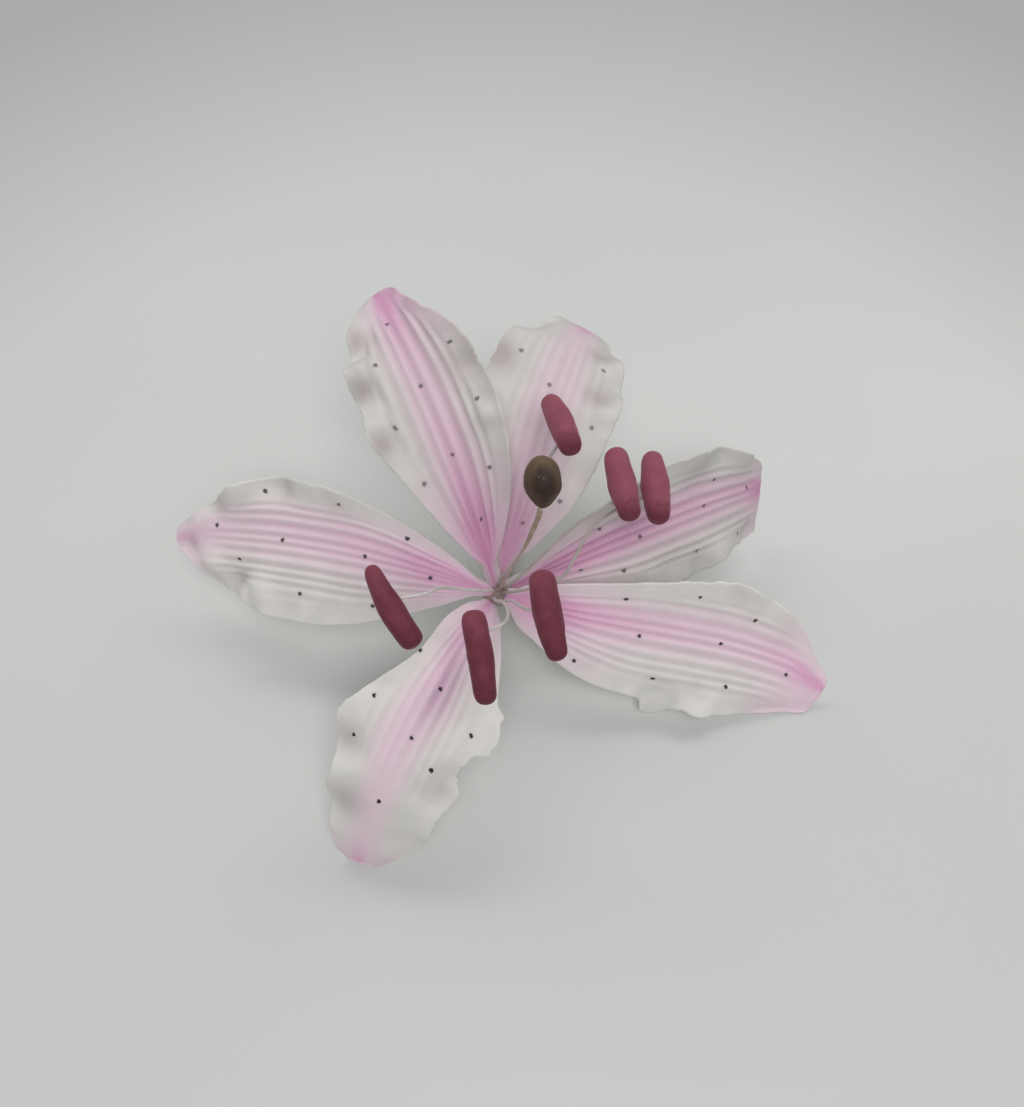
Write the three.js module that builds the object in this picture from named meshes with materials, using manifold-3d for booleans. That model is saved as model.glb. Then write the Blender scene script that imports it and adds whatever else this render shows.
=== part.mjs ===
// A handmade rubrum lily bloom that lies on its bent wire stem.
// Six petals, six anthers and a stigma of modelling paste stand on paper-covered wires,
// which a paper tape binds into one stem. Millimetres, +Z up, and z = 0 is the surface it lies on.

import * as THREE from 'three';
import { mergeVertices } from 'three/addons/utils/BufferGeometryUtils.js';
import Module from 'manifold-3d';

const wasm = await Module();
wasm.setup();

// The bloom faces upwards and leans towards the viewer. Its own frame has x to the right,
// y up the face and z out of the face, with the hub at its origin.
const HUB_HEIGHT = 21;
const BLOOM_LEAN = 28;

// Petals, cut with one cutter and pressed in one veiner.
const PETAL_LENGTH = 67;
const PETAL_WIDTH = 28;
const PASTE_THICKNESS = 1.1;
const CLAW_HALF_WIDTH = 1.7;
const TIP_HALF_WIDTH = 0.9;
const WIDEST_SHIFT = 1.3;
const TIP_TAPER = 0.25;

// The veiner's ridges run along the middle of each petal.
const RIDGE_HEIGHT = 0.45;
const RIDGE_SPACING = 0.2;
const RIDGED_SHARE = 0.6;

// A rib on the back of each petal holds its wire.
const RIB_DEPTH = 1.55;
const RIB_HALF_WIDTH = 1.4;
const RIB_FADE = [0.15, 0.55];
const WIRE_DEPTH_IN_PETAL = 0.8;
const PETAL_SOCKET_ROWS = 4;
const WIRE_SWING_START = 0.45;
const WIRE_SWING_END = 0.4;

// Covered wires, and the room that paste leaves round them.
const WIRE_RADIUS = 0.4;
const PISTIL_WIRE_RADIUS = 0.32;
const SOCKET_RADIUS = 0.66;
const SOCKET_END_ROOM = 0.35;
const SOCKET_START_ROOM = 1.2;
const WIRE_SIDES = 6;
const SOCKET_SIDES = 8;

// The stem drops behind the bloom, bends and lies along the surface under the back petals.
const STEM_LENGTH = 60;
const STEM_BEND_RADIUS = 15;
const STEM_BEND_STEPS = 4;
const WIRE_PITCH = 1.05;
const BUNDLE_TURN = 10;
const TAPE_INNER_RADIUS = 2.6;
const TAPE_OUTER_RADIUS = 3;
const TAPE_SIDES = 12;
const TAPE_START = 5;
const TAPE_END_SETBACK = 1.5;

// Anthers and stigma of paste.
const ANTHER_LENGTH = 16.2;
const ANTHER_WIDTH = 5.2;
const ANTHER_SIDES = 10;
const STIGMA_LENGTH = 9.2;
const STIGMA_WIDTH = 6.8;
const STYLE_RADIUS = 1.1;
const STYLE_BORE = 0.62;
const STYLE_STATIONS = 3;
const STYLE_END_GAP = 0.5;
const GRIP_SHARE = 0.3;
const FREE_STATIONS = 9;

const PETAL_ROWS = 22;
const PIECES_PER_ROW = 8;
const MARGIN_COLUMNS = [0.74, 0.87, 1];

const PASTE_WHITE = 0xd9d5d2;
const PAPER_WHITE = 0xcfcfc8;
const TAPE_COLOUR = 0xb9b6a6;
const ANTHER_COLOUR = 0x7d3a49;
const STIGMA_COLOUR = 0x54483a;
const STYLE_COLOUR = 0x9c8f76;

// Each petal is the cutter's length times stretch, and starts reach from the hub's axis.
// It leaves at heading and rise, in degrees in the plane of the bloom,
// and its midrib turns by swerve and bends down to droop at the tip.
// curl is how far each half turns up by its margin: left base, left tip, right base, right tip.
// waves are [side, place along, height, half length, reach] of the ruffles on each margin.
const PETALS = [
  {
    name: 'petal_left', slot: 3, stretch: 1.02, reach: 3.4, lift: -0.6,
    heading: 164.5, swerve: 17, late: 1.5, bow: 0, rise: 6, droop: -28, bend: 1.2,
    roll: -10, full: [0.58, 0.8], curl: [0, -8, 22, 16],
    waves: [
      [1, 0.3, 0, 0.35, 0.22], [1, 0.68, 1.4, 0.09, 0.04], [1, 0.85, -1.2, 0.06, 0.2],
      [1, 0.93, 1.1, 0.05, 0.2],
      [-1, 0.47, 1.2, 0.09, 0.04], [-1, 0.65, -1.2, 0.07, 0.04], [-1, 0.76, 1.4, 0.06, 0.03],
      [-1, 0.85, -1.0, 0.05, -0.04],
    ],
  },
  {
    name: 'petal_upper_left', slot: 2, stretch: 1, reach: 4, lift: 1.4,
    heading: 105, swerve: 16, late: 1, bow: 0, rise: 30, droop: -46, bend: 1.3,
    roll: 0, full: [0.8, 0.62], curl: [40, 25, 50, 36],
    waves: [
      [1, 0.3, 0, 0.16, -0.04], [1, 0.51, 1.4, 0.06, 0.03], [1, 0.6, -1.3, 0.045, -0.04],
      [1, 0.7, 1.6, 0.05, 0.0], [1, 0.775, -1.3, 0.04, -0.04], [1, 0.84, 1.2, 0.05, 0.0],
      [-1, 0.2, 0, 0.2, 0.14], [-1, 0.6, -1.6, 0.06, -0.04], [-1, 0.86, 1.8, 0.14, -0.34],
      [-1, 0.98, 0, 0.05, -0.3],
    ],
  },
  {
    name: 'petal_upper_middle', slot: 1, stretch: 1, reach: 5, lift: -2.6,
    heading: 77, swerve: -15, late: 1.5, bow: 0, rise: 20, droop: -84, bend: 1.8,
    roll: 0, full: [0.6, 0.5], curl: [20, -8, 16, -8],
    waves: [
      [1, 0.7, 1.2, 0.06, 0.0], [1, 0.82, -1.8, 0.05, -0.04], [1, 0.93, 0.4, 0.07, -0.3],
      [-1, 0.2, 0, 0.2, 0.16], [-1, 0.58, 1.1, 0.06, 0.03], [-1, 0.68, -1.2, 0.05, 0.0],
      [-1, 0.78, 1.2, 0.05, 0.03], [-1, 0.85, -1.2, 0.04, 0.0],
    ],
  },
  {
    name: 'petal_right_upper', slot: 0, stretch: 0.98, reach: 5, lift: -1.8,
    heading: 24.8, swerve: -8, late: 1, bow: 0, rise: 8, droop: -64, bend: 1.6,
    roll: 24, full: [0.72, 0.66], curl: [26, 24, 4, 0],
    waves: [
      [1, 0.35, 0, 0.3, -0.1], [1, 0.62, 1.2, 0.06, 0.03], [1, 0.71, -1.2, 0.05, 0.0],
      [1, 0.8, 1.2, 0.05, -0.03], [1, 0.95, 0, 0.07, -0.5],
      [-1, 0.4, 0, 0.35, 0.08], [-1, 0.6, -1.4, 0.05, 0.0], [-1, 0.72, 1.2, 0.06, -0.04],
      [-1, 0.88, -1, 0.06, 0.4], [-1, 0.97, -0.6, 0.06, 1.3],
    ],
  },
  {
    name: 'petal_right', slot: 5, stretch: 1.04, reach: 3.6, lift: 0.8,
    heading: -20, swerve: -18, late: 4.5, bow: 10, rise: 0, droop: -20.7, bend: 1.5,
    roll: 15, full: [0.44, 0.6], curl: [20, 6, -4, 12],
    waves: [
      [1, 0.33, 1, 0.2, -0.06], [1, 0.62, 1.3, 0.07, 0.08], [1, 0.93, 0, 0.07, -0.3],
      [-1, 0.2, 0, 0.2, 0.26], [-1, 0.48, -4.4, 0.05, 0.2], [-1, 0.62, 0.8, 0.05, 0.12],
      [-1, 0.72, -1, 0.05, 0.12], [-1, 0.83, -1.8, 0.08, 0.24], [-1, 0.95, -2.2, 0.08, 1],
    ],
  },
  {
    name: 'petal_lower_left', slot: 4, stretch: 1.02, reach: 3.4, lift: 0.6,
    heading: 236.5, swerve: 14, late: 1, bow: 0, rise: 58, droop: -58, bend: 1.1,
    roll: 0, full: [0.5, 0.66], curl: [10, -12, 10, -10],
    waves: [
      [1, 0.38, 1.2, 0.07, 0.16], [1, 0.53, -1.6, 0.045, -0.22], [1, 0.68, 1.1, 0.09, -0.2],
      [1, 0.92, 0, 0.07, -0.1],
      [-1, 0.26, 0, 0.13, -0.32], [-1, 0.5, 1.2, 0.06, 0.1], [-1, 0.58, -1.4, 0.05, -0.06],
      [-1, 0.66, 1.4, 0.06, -0.14], [-1, 0.78, -1.2, 0.06, -0.14], [-1, 0.88, 1, 0.06, -0.1],
    ],
  },
];

// Each stamen's wire runs from its slot in the bundle through its route into its anther,
// which it joins at a place along the anther's axis. Places are in the bloom's frame.
const STAMENS = [
  {
    place: 'left', slot: 3, centre: [-17.4, -1, 33], heading: 121, pitch: -6, bow: 0.5,
    route: [[-1.3, 0.7, 8], [-5.7, 1.3, 18], [-9.8, 1.9, 26], [-12.1, 1, 31]], joins: 1.2,
  },
  {
    place: 'front_centre', slot: 4, centre: [-2.6, -9.6, 35], heading: 99, pitch: -4, bow: -0.3,
    route: [[-0.2, -1.3, 4], [1.2, -1.4, 10], [2.1, -2.2, 18], [2.3, -3.2, 23], [1.5, -4.3, 29]], joins: 3.5,
  },
  {
    place: 'front_right', slot: 5, centre: [9.5, -2.5, 34], heading: 101, pitch: -20, bow: 0.3,
    route: [[1, -1.5, 4], [2.8, -1.1, 10], [4.3, -1.5, 19], [5.8, -1.9, 27]], joins: 0.5,
  },
  {
    place: 'pair_left', slot: 1, centre: [23.5, 20.8, 20], heading: 99, pitch: -35, bow: 0.2,
    route: [[2.6, 1.7, 4], [6.6, 5.5, 9], [11, 9.8, 13.5], [16.8, 14.6, 17.8]], joins: -3,
  },
  {
    place: 'pair_right', slot: 0, centre: [29.8, 20.4, 17], heading: 91, pitch: -35, bow: 0,
    route: [[1.9, 0.2, 3.4], [6.6, 1.2, 9], [12.6, 3.5, 12], [15.4, 8.1, 14], [18.1, 12.8, 15],
      [24.6, 17.4, 13.6]],
    joins: -1.5,
  },
  {
    place: 'top', slot: 2, centre: [11.9, 31.8, 20], heading: 109, pitch: -45, bow: -0.2,
    route: [[0.9, 3, 3], [4.3, 7.4, 8], [6.9, 12.4, 12], [8.5, 18, 16], [9.7, 25, 19]],
    joins: -3,
  },
];

// The pistil's wire, with the style on its upper half and the stigma at its end.
const PISTIL = {
  centre: [8.3, 20.2, 34], heading: 92, pitch: 18, bow: 0,
  route: [[1.7, 2.8, 8], [3.6, 6.4, 16], [5.4, 9.2, 22], [7, 12.8, 28], [7.8, 14.6, 31]],
  joins: -2.2,
};

const UP = new THREE.Vector3(0, 0, 1);
const bloomPose = new THREE.Matrix4()
  .makeRotationX(THREE.MathUtils.degToRad(BLOOM_LEAN))
  .setPosition(0, 0, HUB_HEIGHT);

function mix(a, b, amount) {
  return a + (b - a) * amount;
}

function smooth(from, to, value) {
  return THREE.MathUtils.smoothstep(value, from, to);
}

function bump(offset, halfLength) {
  return Math.exp(-((offset / halfLength) ** 2));
}

function direction(headingDegrees, pitchDegrees) {
  const heading = THREE.MathUtils.degToRad(headingDegrees);
  const pitch = THREE.MathUtils.degToRad(pitchDegrees);
  return new THREE.Vector3(
    Math.cos(pitch) * Math.cos(heading),
    Math.cos(pitch) * Math.sin(heading),
    Math.sin(pitch),
  );
}

// The direction of a petal's midrib at t, from 0 at the hub to 1 at the tip.
function midribDirection(petal, t) {
  const bow = petal.bow * Math.sin(Math.PI * t);
  const heading = petal.heading + petal.swerve * t ** petal.late + bow;
  const pitch = mix(petal.rise, petal.droop, t ** petal.bend);
  return direction(heading, pitch);
}

// The midrib's places and the axes across it, one set for each row of the petal.
function midribFrames(petal) {
  const place = direction(petal.heading, 0).multiplyScalar(petal.reach);
  place.z += petal.lift;
  const frames = [];
  const fineLength = (PETAL_LENGTH * petal.stretch) / (PETAL_ROWS * PIECES_PER_ROW);
  for (let row = 0; row <= PETAL_ROWS; row += 1) {
    const t = row / PETAL_ROWS;
    const along = midribDirection(petal, t);
    const left = new THREE.Vector3().crossVectors(UP, along).normalize();
    left.applyAxisAngle(along, THREE.MathUtils.degToRad(petal.roll));
    const face = new THREE.Vector3().crossVectors(along, left);
    frames.push({ t, place: place.clone(), along, left, face });
    for (let piece = 0; piece < PIECES_PER_ROW; piece += 1) {
      const middle = t + (piece + 0.5) / (PETAL_ROWS * PIECES_PER_ROW);
      place.addScaledVector(midribDirection(petal, Math.min(middle, 1)), fineLength);
    }
  }
  return frames;
}

// Half the petal's width at t on one side, with that margin's own waves.
function halfWidth(petal, t, side) {
  const [fullBase, fullTip] = petal.full;
  const round = Math.max(Math.sin(Math.PI * t ** WIDEST_SHIFT), 0);
  const blade = (PETAL_WIDTH / 2) * round ** mix(fullBase, fullTip, t) * (1 - TIP_TAPER * t ** 6);
  let reach = 1;
  for (const [waveSide, at, , halfLength, waveReach] of petal.waves) {
    if (waveSide === side) {
      reach += waveReach * bump(t - at, halfLength);
    }
  }
  return Math.hypot(blade * reach, mix(CLAW_HALF_WIDTH, TIP_HALF_WIDTH, t));
}

// The cross-section at t: each half is an arc that turns up by its curl towards the margin.
function crossSection(petal, t, s) {
  const side = Math.sign(s);
  const [base, tip] = side > 0 ? petal.curl.slice(0, 2) : petal.curl.slice(2, 4);
  const turned = THREE.MathUtils.degToRad(mix(base, tip, smooth(0.1, 0.9, t)));
  const width = halfWidth(petal, t, side);
  const angle = turned * Math.abs(s);
  const radius = width / turned;
  return {
    across: turned ? side * radius * Math.sin(angle) : s * width,
    bowl: turned ? radius * (1 - Math.cos(angle)) : 0,
  };
}

// The ridges and ruffles at t along and s across.
function relief(petal, t, s) {
  const lengthwise = smooth(0.04, 0.25, t) * (1 - smooth(0.75, 0.97, t));
  const crosswise = 1 - smooth(RIDGED_SHARE - 0.08, RIDGED_SHARE + 0.1, Math.abs(s));
  const ridges = -0.5 * RIDGE_HEIGHT * Math.cos((2 * Math.PI * s) / RIDGE_SPACING);
  let ruffle = 0;
  for (const [waveSide, at, height, halfLength] of petal.waves) {
    if (waveSide * s > 0) {
      ruffle += height * bump(t - at, halfLength) * smooth(0.45, 1, Math.abs(s));
    }
  }
  return ridges * lengthwise * crosswise + ruffle;
}

function petalColumns() {
  const ridged = [];
  const steps = Math.round((2 * RIDGED_SHARE) / RIDGE_SPACING);
  for (let column = -steps; column <= steps; column += 1) {
    ridged.push((column * RIDGE_SPACING) / 2);
  }
  return [...MARGIN_COLUMNS.map((s) => -s).reverse(), ...ridged, ...MARGIN_COLUMNS];
}

// The middle surface of a petal as rows of points.
function bladeSurface(petal, frames, columns) {
  return frames.map(({ t, place, left, face }) => columns.map((s) => {
    const { across, bowl } = crossSection(petal, t, s);
    return place.clone()
      .addScaledVector(left, across)
      .addScaledVector(face, bowl + relief(petal, t, s));
  }));
}

function surfaceNormal(surface, row, column) {
  const rowAfter = surface[Math.min(row + 1, surface.length - 1)];
  const rowBefore = surface[Math.max(row - 1, 0)];
  const last = surface[row].length - 1;
  const along = rowAfter[column].clone().sub(rowBefore[column]);
  const across = surface[row][Math.min(column + 1, last)].clone()
    .sub(surface[row][Math.max(column - 1, 0)]);
  return along.cross(across).normalize();
}

// A closed sheet between two grids of points that are triangulated alike.
function sheetBetween(top, bottom) {
  const rows = top.length;
  const columns = top[0].length;
  const corners = [...top.flat(), ...bottom.flat()];
  const below = rows * columns;
  const faces = [];
  const at = (row, column) => row * columns + column;
  for (let row = 0; row < rows - 1; row += 1) {
    for (let column = 0; column < columns - 1; column += 1) {
      const a = at(row, column);
      const b = at(row + 1, column);
      const c = at(row + 1, column + 1);
      const d = at(row, column + 1);
      faces.push(a, b, c, a, c, d);
      faces.push(below + a, below + c, below + b, below + a, below + d, below + c);
    }
  }
  const rim = [];
  for (let row = 0; row < rows - 1; row += 1) rim.push(at(row, 0));
  for (let column = 0; column < columns - 1; column += 1) rim.push(at(rows - 1, column));
  for (let row = rows - 1; row > 0; row -= 1) rim.push(at(row, columns - 1));
  for (let column = columns - 1; column > 0; column -= 1) rim.push(at(0, column));
  rim.forEach((from, index) => {
    const to = rim[(index + 1) % rim.length];
    faces.push(from, below + from, to, to, below + from, below + to);
  });
  return solidFrom(corners, faces);
}

function solidFrom(corners, faces) {
  const positions = corners.flatMap((corner) => corner.toArray());
  const geometry = new THREE.BufferGeometry();
  geometry.setAttribute('position', new THREE.Float32BufferAttribute(positions, 3));
  geometry.setIndex(faces);
  return geometry;
}

// Where a petal's wire runs inside its rib, from the claw inwards.
function ribLine(frames) {
  return frames.slice(0, PETAL_SOCKET_ROWS + 1)
    .map(({ place, face }) => place.clone().addScaledVector(face, -WIRE_DEPTH_IN_PETAL));
}

// Where a petal would sink below the surface it lies on, its paste is pressed flat.
function pressedFlat(surface, floorHeight) {
  return surface.map((points) => points.map((point) => {
    const pressed = point.clone().applyMatrix4(bloomPose);
    pressed.z = Math.max(pressed.z, floorHeight);
    return pressed;
  }));
}

// A petal's solid, with its rib on the back, in the part's own frame.
function petalBlade(petal, frames) {
  const columns = petalColumns();
  const middle = bladeSurface(petal, frames, columns);
  const top = [];
  const bottom = [];
  middle.forEach((points, row) => {
    const { t } = frames[row];
    top.push([]);
    bottom.push([]);
    points.forEach((point, column) => {
      const { across } = crossSection(petal, t, columns[column]);
      const normal = surfaceNormal(middle, row, column);
      const rib = RIB_DEPTH * bump(across, RIB_HALF_WIDTH) * (1 - smooth(...RIB_FADE, t));
      top[row].push(point.clone().addScaledVector(normal, PASTE_THICKNESS / 2));
      bottom[row].push(point.clone().addScaledVector(normal, -PASTE_THICKNESS / 2 - rib));
    });
  });
  return sheetBetween(pressedFlat(top, PASTE_THICKNESS), pressedFlat(bottom, 0));
}

// A path that is sampled exactly at its own stations, however far apart they lie.
class StationPath extends THREE.CatmullRomCurve3 {
  getPointAt(u, target) {
    return this.getPoint(u, target);
  }

  getTangentAt(u, target) {
    return this.getTangent(u, target);
  }
}

function ringShape(radius, sides, boreRadius = 0) {
  const corner = (r, index) => {
    const angle = ((index + 0.5) / sides) * 2 * Math.PI;
    return new THREE.Vector2(r * Math.cos(angle), r * Math.sin(angle));
  };
  const corners = (r) => Array.from({ length: sides }, (_, index) => corner(r, index));
  const shape = new THREE.Shape(corners(radius));
  if (boreRadius > 0) {
    shape.holes.push(new THREE.Path(corners(boreRadius)));
  }
  return shape;
}

function rodAlong(stations, shape) {
  const extrudePath = new StationPath(stations, false, 'centripetal');
  return new THREE.ExtrudeGeometry(shape, {
    steps: stations.length - 1, bevelEnabled: false, extrudePath,
  });
}

// The stem's centre at a distance from the hub, in the bloom's frame, with its two axes across.
// It leaves straight behind the bloom, bends through the bloom's tilt and then lies level.
function stemSection(distance) {
  const dropAngle = THREE.MathUtils.degToRad(90 - BLOOM_LEAN);
  const axisHeight = TAPE_OUTER_RADIUS * Math.cos(Math.PI / TAPE_SIDES);
  const bendDrop = STEM_BEND_RADIUS * (1 - Math.cos(dropAngle));
  const straight = (HUB_HEIGHT - axisHeight - bendDrop) / Math.sin(dropAngle);
  const bendLength = STEM_BEND_RADIUS * dropAngle;
  const first = Math.min(distance, straight);
  const turned = THREE.MathUtils.clamp((distance - straight) / STEM_BEND_RADIUS, 0, dropAngle);
  const level = Math.max(distance - straight - bendLength, 0);
  const pitch = dropAngle - turned;
  const back = first * Math.cos(dropAngle)
    + STEM_BEND_RADIUS * (Math.sin(dropAngle) - Math.sin(pitch)) + level;
  const height = HUB_HEIGHT - first * Math.sin(dropAngle)
    - STEM_BEND_RADIUS * (Math.cos(pitch) - Math.cos(dropAngle));
  return {
    place: new THREE.Vector3(0, back, height),
    over: new THREE.Vector3(0, Math.sin(pitch), Math.cos(pitch)),
    bendStart: straight,
    bendEnd: straight + bendLength,
  };
}

// Distances from the hub at which the bundle is sampled, from its cut end up to the tape's start.
function stemStations(end) {
  const { bendStart, bendEnd } = stemSection(0);
  const bends = [];
  for (let step = 0; step <= STEM_BEND_STEPS; step += 1) {
    bends.push(mix(bendEnd, bendStart, step / STEM_BEND_STEPS));
  }
  return [end, ...bends, TAPE_START];
}

// A wire's places in the bundle: radius and angle are its slot, seen from the bloom's face.
function bundlePlaces(radius, angle, end) {
  const turn = THREE.MathUtils.degToRad(angle);
  return stemStations(end).map((distance) => {
    const { place, over } = stemSection(distance);
    place.x += radius * Math.cos(turn);
    return place.addScaledVector(over, radius * Math.sin(turn));
  });
}

function inBloom(point) {
  return new THREE.Vector3(...point).applyMatrix4(bloomPose);
}

function innerSlot(slot) {
  return bundlePlaces(WIRE_PITCH, BUNDLE_TURN - 30 + 60 * slot, STEM_LENGTH);
}

function outerSlot(slot) {
  return bundlePlaces(WIRE_PITCH * Math.sqrt(3), BUNDLE_TURN + 60 * slot, STEM_LENGTH);
}

// A petal's wire leaves the tape, swings out to the claw and ends in the rib.
function petalWire(petal, frames) {
  const bundle = outerSlot(petal.slot);
  const rib = ribLine(frames).map((point) => point.applyMatrix4(bloomPose));
  const bundleTop = bundle[bundle.length - 1];
  const outOfTape = new THREE.Vector3(0, 0, 1).transformDirection(bloomPose);
  const intoRib = rib[1].clone().sub(rib[0]).normalize();
  const span = bundleTop.distanceTo(rib[0]);
  const swing = new THREE.CubicBezierCurve3(
    bundleTop,
    bundleTop.clone().addScaledVector(outOfTape, span * WIRE_SWING_START),
    rib[0].clone().addScaledVector(intoRib, -span * WIRE_SWING_END),
    rib[0],
  ).getPoints(4);
  return rodAlong([...bundle, ...swing.slice(1, -1), ...rib], ringShape(WIRE_RADIUS, WIRE_SIDES));
}

// A free run of wire from the bundle through a route into a rolled body of paste.
// It ends near the body's axis, and its last two places are the ends of its socket.
function freeWire(bundle, { route, centre, heading, pitch, joins }, bodyRadius) {
  const outOfTape = new THREE.Vector3(0, 0, 1).transformDirection(bloomPose);
  const bundleTop = bundle[bundle.length - 1];
  const onAxis = inBloom(centre).addScaledVector(
    direction(heading, pitch).transformDirection(bloomPose),
    joins,
  );
  const lastOnRoute = inBloom(route[route.length - 1]);
  const outwards = lastOnRoute.clone().sub(onAxis).normalize();
  const entry = onAxis.clone().addScaledVector(outwards, bodyRadius);
  const end = onAxis.clone().addScaledVector(outwards, bodyRadius * GRIP_SHARE);
  const controls = [
    bundleTop,
    bundleTop.clone().addScaledVector(outOfTape, TAPE_START / 2),
    ...route.map(inBloom),
    entry,
  ];
  const run = new THREE.CatmullRomCurve3(controls, false, 'centripetal');
  return [...bundle, ...run.getSpacedPoints(FREE_STATIONS).slice(1), end];
}

// A closed body of rings round an axis, with a point at each end.
function ringBody(rings, startPoint, endPoint) {
  const sides = rings[0].length;
  const corners = [...rings.flat(), startPoint, endPoint];
  const start = corners.length - 2;
  const end = corners.length - 1;
  const lastRing = (rings.length - 1) * sides;
  const faces = [];
  for (let side = 0; side < sides; side += 1) {
    const next = (side + 1) % sides;
    faces.push(start, next, side);
    faces.push(end, lastRing + side, lastRing + next);
    for (let ring = 0; ring < rings.length - 1; ring += 1) {
      const near = ring * sides;
      const far = near + sides;
      faces.push(near + side, near + next, far + next, near + side, far + next, far + side);
    }
  }
  return solidFrom(corners, faces);
}

// Paste rolled round an axis: radiusAt gives its radius at u, from -1 to 1 along,
// and bow bends its middle sideways.
function rolledPaste({ centre, heading, pitch, bow }, length, places, radiusAt) {
  const axis = direction(heading, pitch);
  const sideways = new THREE.Vector3().crossVectors(UP, axis).normalize();
  const facing = new THREE.Vector3().crossVectors(axis, sideways);
  const onAxis = (u) => new THREE.Vector3(...centre)
    .addScaledVector(axis, (u * length) / 2)
    .addScaledVector(sideways, bow * (1 - u * u));
  const rings = places.map((u) => {
    const ring = [];
    for (let side = 0; side < ANTHER_SIDES; side += 1) {
      const angle = (side / ANTHER_SIDES) * 2 * Math.PI;
      ring.push(onAxis(u)
        .addScaledVector(sideways, radiusAt(u) * Math.cos(angle))
        .addScaledVector(facing, radiusAt(u) * Math.sin(angle)));
    }
    return ring;
  });
  return ringBody(rings, onAxis(-1), onAxis(1)).applyMatrix4(bloomPose);
}

function antherBody(stamen) {
  const places = [-0.97, -0.88, -0.7, -0.4, 0, 0.4, 0.7, 0.88, 0.97];
  const roundEnds = (u) => Math.sqrt(1 - Math.abs(u) ** 4);
  const radiusAt = (u) => (ANTHER_WIDTH / 2) * roundEnds(u) * (1 - 0.06 * u);
  return rolledPaste(stamen, ANTHER_LENGTH, places, radiusAt);
}

function stigmaBody() {
  const places = [-0.94, -0.8, -0.6, -0.3, 0, 0.3, 0.6, 0.82, 0.95];
  const egg = (u) => Math.sqrt(1 - u * u) * (1 + 0.22 * u - 0.08 * u * u);
  return rolledPaste(PISTIL, STIGMA_LENGTH, places, (u) => (STIGMA_WIDTH / 2) * egg(u));
}

function toSolid(geometry) {
  const bare = geometry.clone();
  bare.deleteAttribute('normal');
  bare.deleteAttribute('uv');
  const merged = mergeVertices(bare, 1e-4);
  return new wasm.Manifold(new wasm.Mesh({
    numProp: 3,
    vertProperties: merged.attributes.position.array,
    triVerts: new Uint32Array(merged.index.array),
  }));
}

function cutAway(body, tool) {
  const cut = toSolid(body).subtract(toSolid(tool)).getMesh();
  const geometry = new THREE.BufferGeometry();
  geometry.setAttribute('position', new THREE.BufferAttribute(cut.vertProperties, 3));
  geometry.setIndex(new THREE.BufferAttribute(cut.triVerts, 1));
  return geometry;
}

// A socket along a wire's end: it starts outside the paste and leaves room past the wire.
function socket(places) {
  const first = places[0];
  const last = places[places.length - 1];
  const outwards = first.clone().sub(places[1]).normalize();
  const inwards = last.clone().sub(places[places.length - 2]).normalize();
  const start = first.clone().addScaledVector(outwards, SOCKET_START_ROOM);
  const end = last.clone().addScaledVector(inwards, SOCKET_END_ROOM);
  return rodAlong([start, ...places.slice(1, -1), end], ringShape(SOCKET_RADIUS, SOCKET_SIDES));
}

function paper(colour) {
  return new THREE.MeshStandardMaterial({ color: colour, roughness: 0.85, metalness: 0 });
}

function paste(colour) {
  return new THREE.MeshStandardMaterial({ color: colour, roughness: 0.6, metalness: 0 });
}

function addPiece(name, geometry, material) {
  geometry.computeVertexNormals();
  const mesh = new THREE.Mesh(geometry, material);
  mesh.name = name;
  bloom.add(mesh);
}

function addPetal(petal) {
  const frames = midribFrames(petal);
  const blade = petalBlade(petal, frames);
  const rib = ribLine(frames).map((point) => point.applyMatrix4(bloomPose));
  addPiece(petal.name, cutAway(blade, socket(rib)), paste(PASTE_WHITE));
  addPiece(petal.name.replace('petal', 'wire'), petalWire(petal, frames), paper(PAPER_WHITE));
}

function addStamen(stamen) {
  const places = freeWire(innerSlot(stamen.slot), stamen, ANTHER_WIDTH / 2);
  const filament = rodAlong(places, ringShape(WIRE_RADIUS, WIRE_SIDES));
  const anther = cutAway(antherBody(stamen), socket(places.slice(-2)));
  addPiece(`filament_${stamen.place}`, filament, paper(PAPER_WHITE));
  addPiece(`anther_${stamen.place}`, anther, paste(ANTHER_COLOUR));
}

// The style's paste is a sleeve round the upper part of the pistil's wire.
function addPistil() {
  const places = freeWire(bundlePlaces(0, 0, STEM_LENGTH), PISTIL, STIGMA_WIDTH / 2);
  const wire = rodAlong(places, ringShape(PISTIL_WIRE_RADIUS, WIRE_SIDES));
  const sleeve = places.slice(-2 - STYLE_STATIONS, -1);
  const intoStigma = sleeve[sleeve.length - 1].clone().sub(sleeve[sleeve.length - 2]).normalize();
  sleeve[sleeve.length - 1].addScaledVector(intoStigma, -STYLE_END_GAP);
  const style = rodAlong(sleeve, ringShape(STYLE_RADIUS, SOCKET_SIDES, STYLE_BORE));
  addPiece('pistil_wire', wire, paper(PAPER_WHITE));
  addPiece('style', style, paste(STYLE_COLOUR));
  addPiece('stigma', cutAway(stigmaBody(), socket(places.slice(-2))), paste(STIGMA_COLOUR));
}

// The paper tape that binds the wires into one stem.
function addTape() {
  const shape = ringShape(TAPE_OUTER_RADIUS, TAPE_SIDES, TAPE_INNER_RADIUS);
  const places = bundlePlaces(0, 0, STEM_LENGTH - TAPE_END_SETBACK);
  addPiece('stem_tape', rodAlong(places, shape), paper(TAPE_COLOUR));
}

const bloom = new THREE.Group();
PETALS.forEach(addPetal);
STAMENS.forEach(addStamen);
addPistil();
addTape();

// The origin is the middle of the footprint.
const footprint = new THREE.Box3().setFromObject(bloom).getCenter(new THREE.Vector3());
bloom.position.set(-footprint.x, -footprint.y, 0);

export default bloom;
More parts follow.
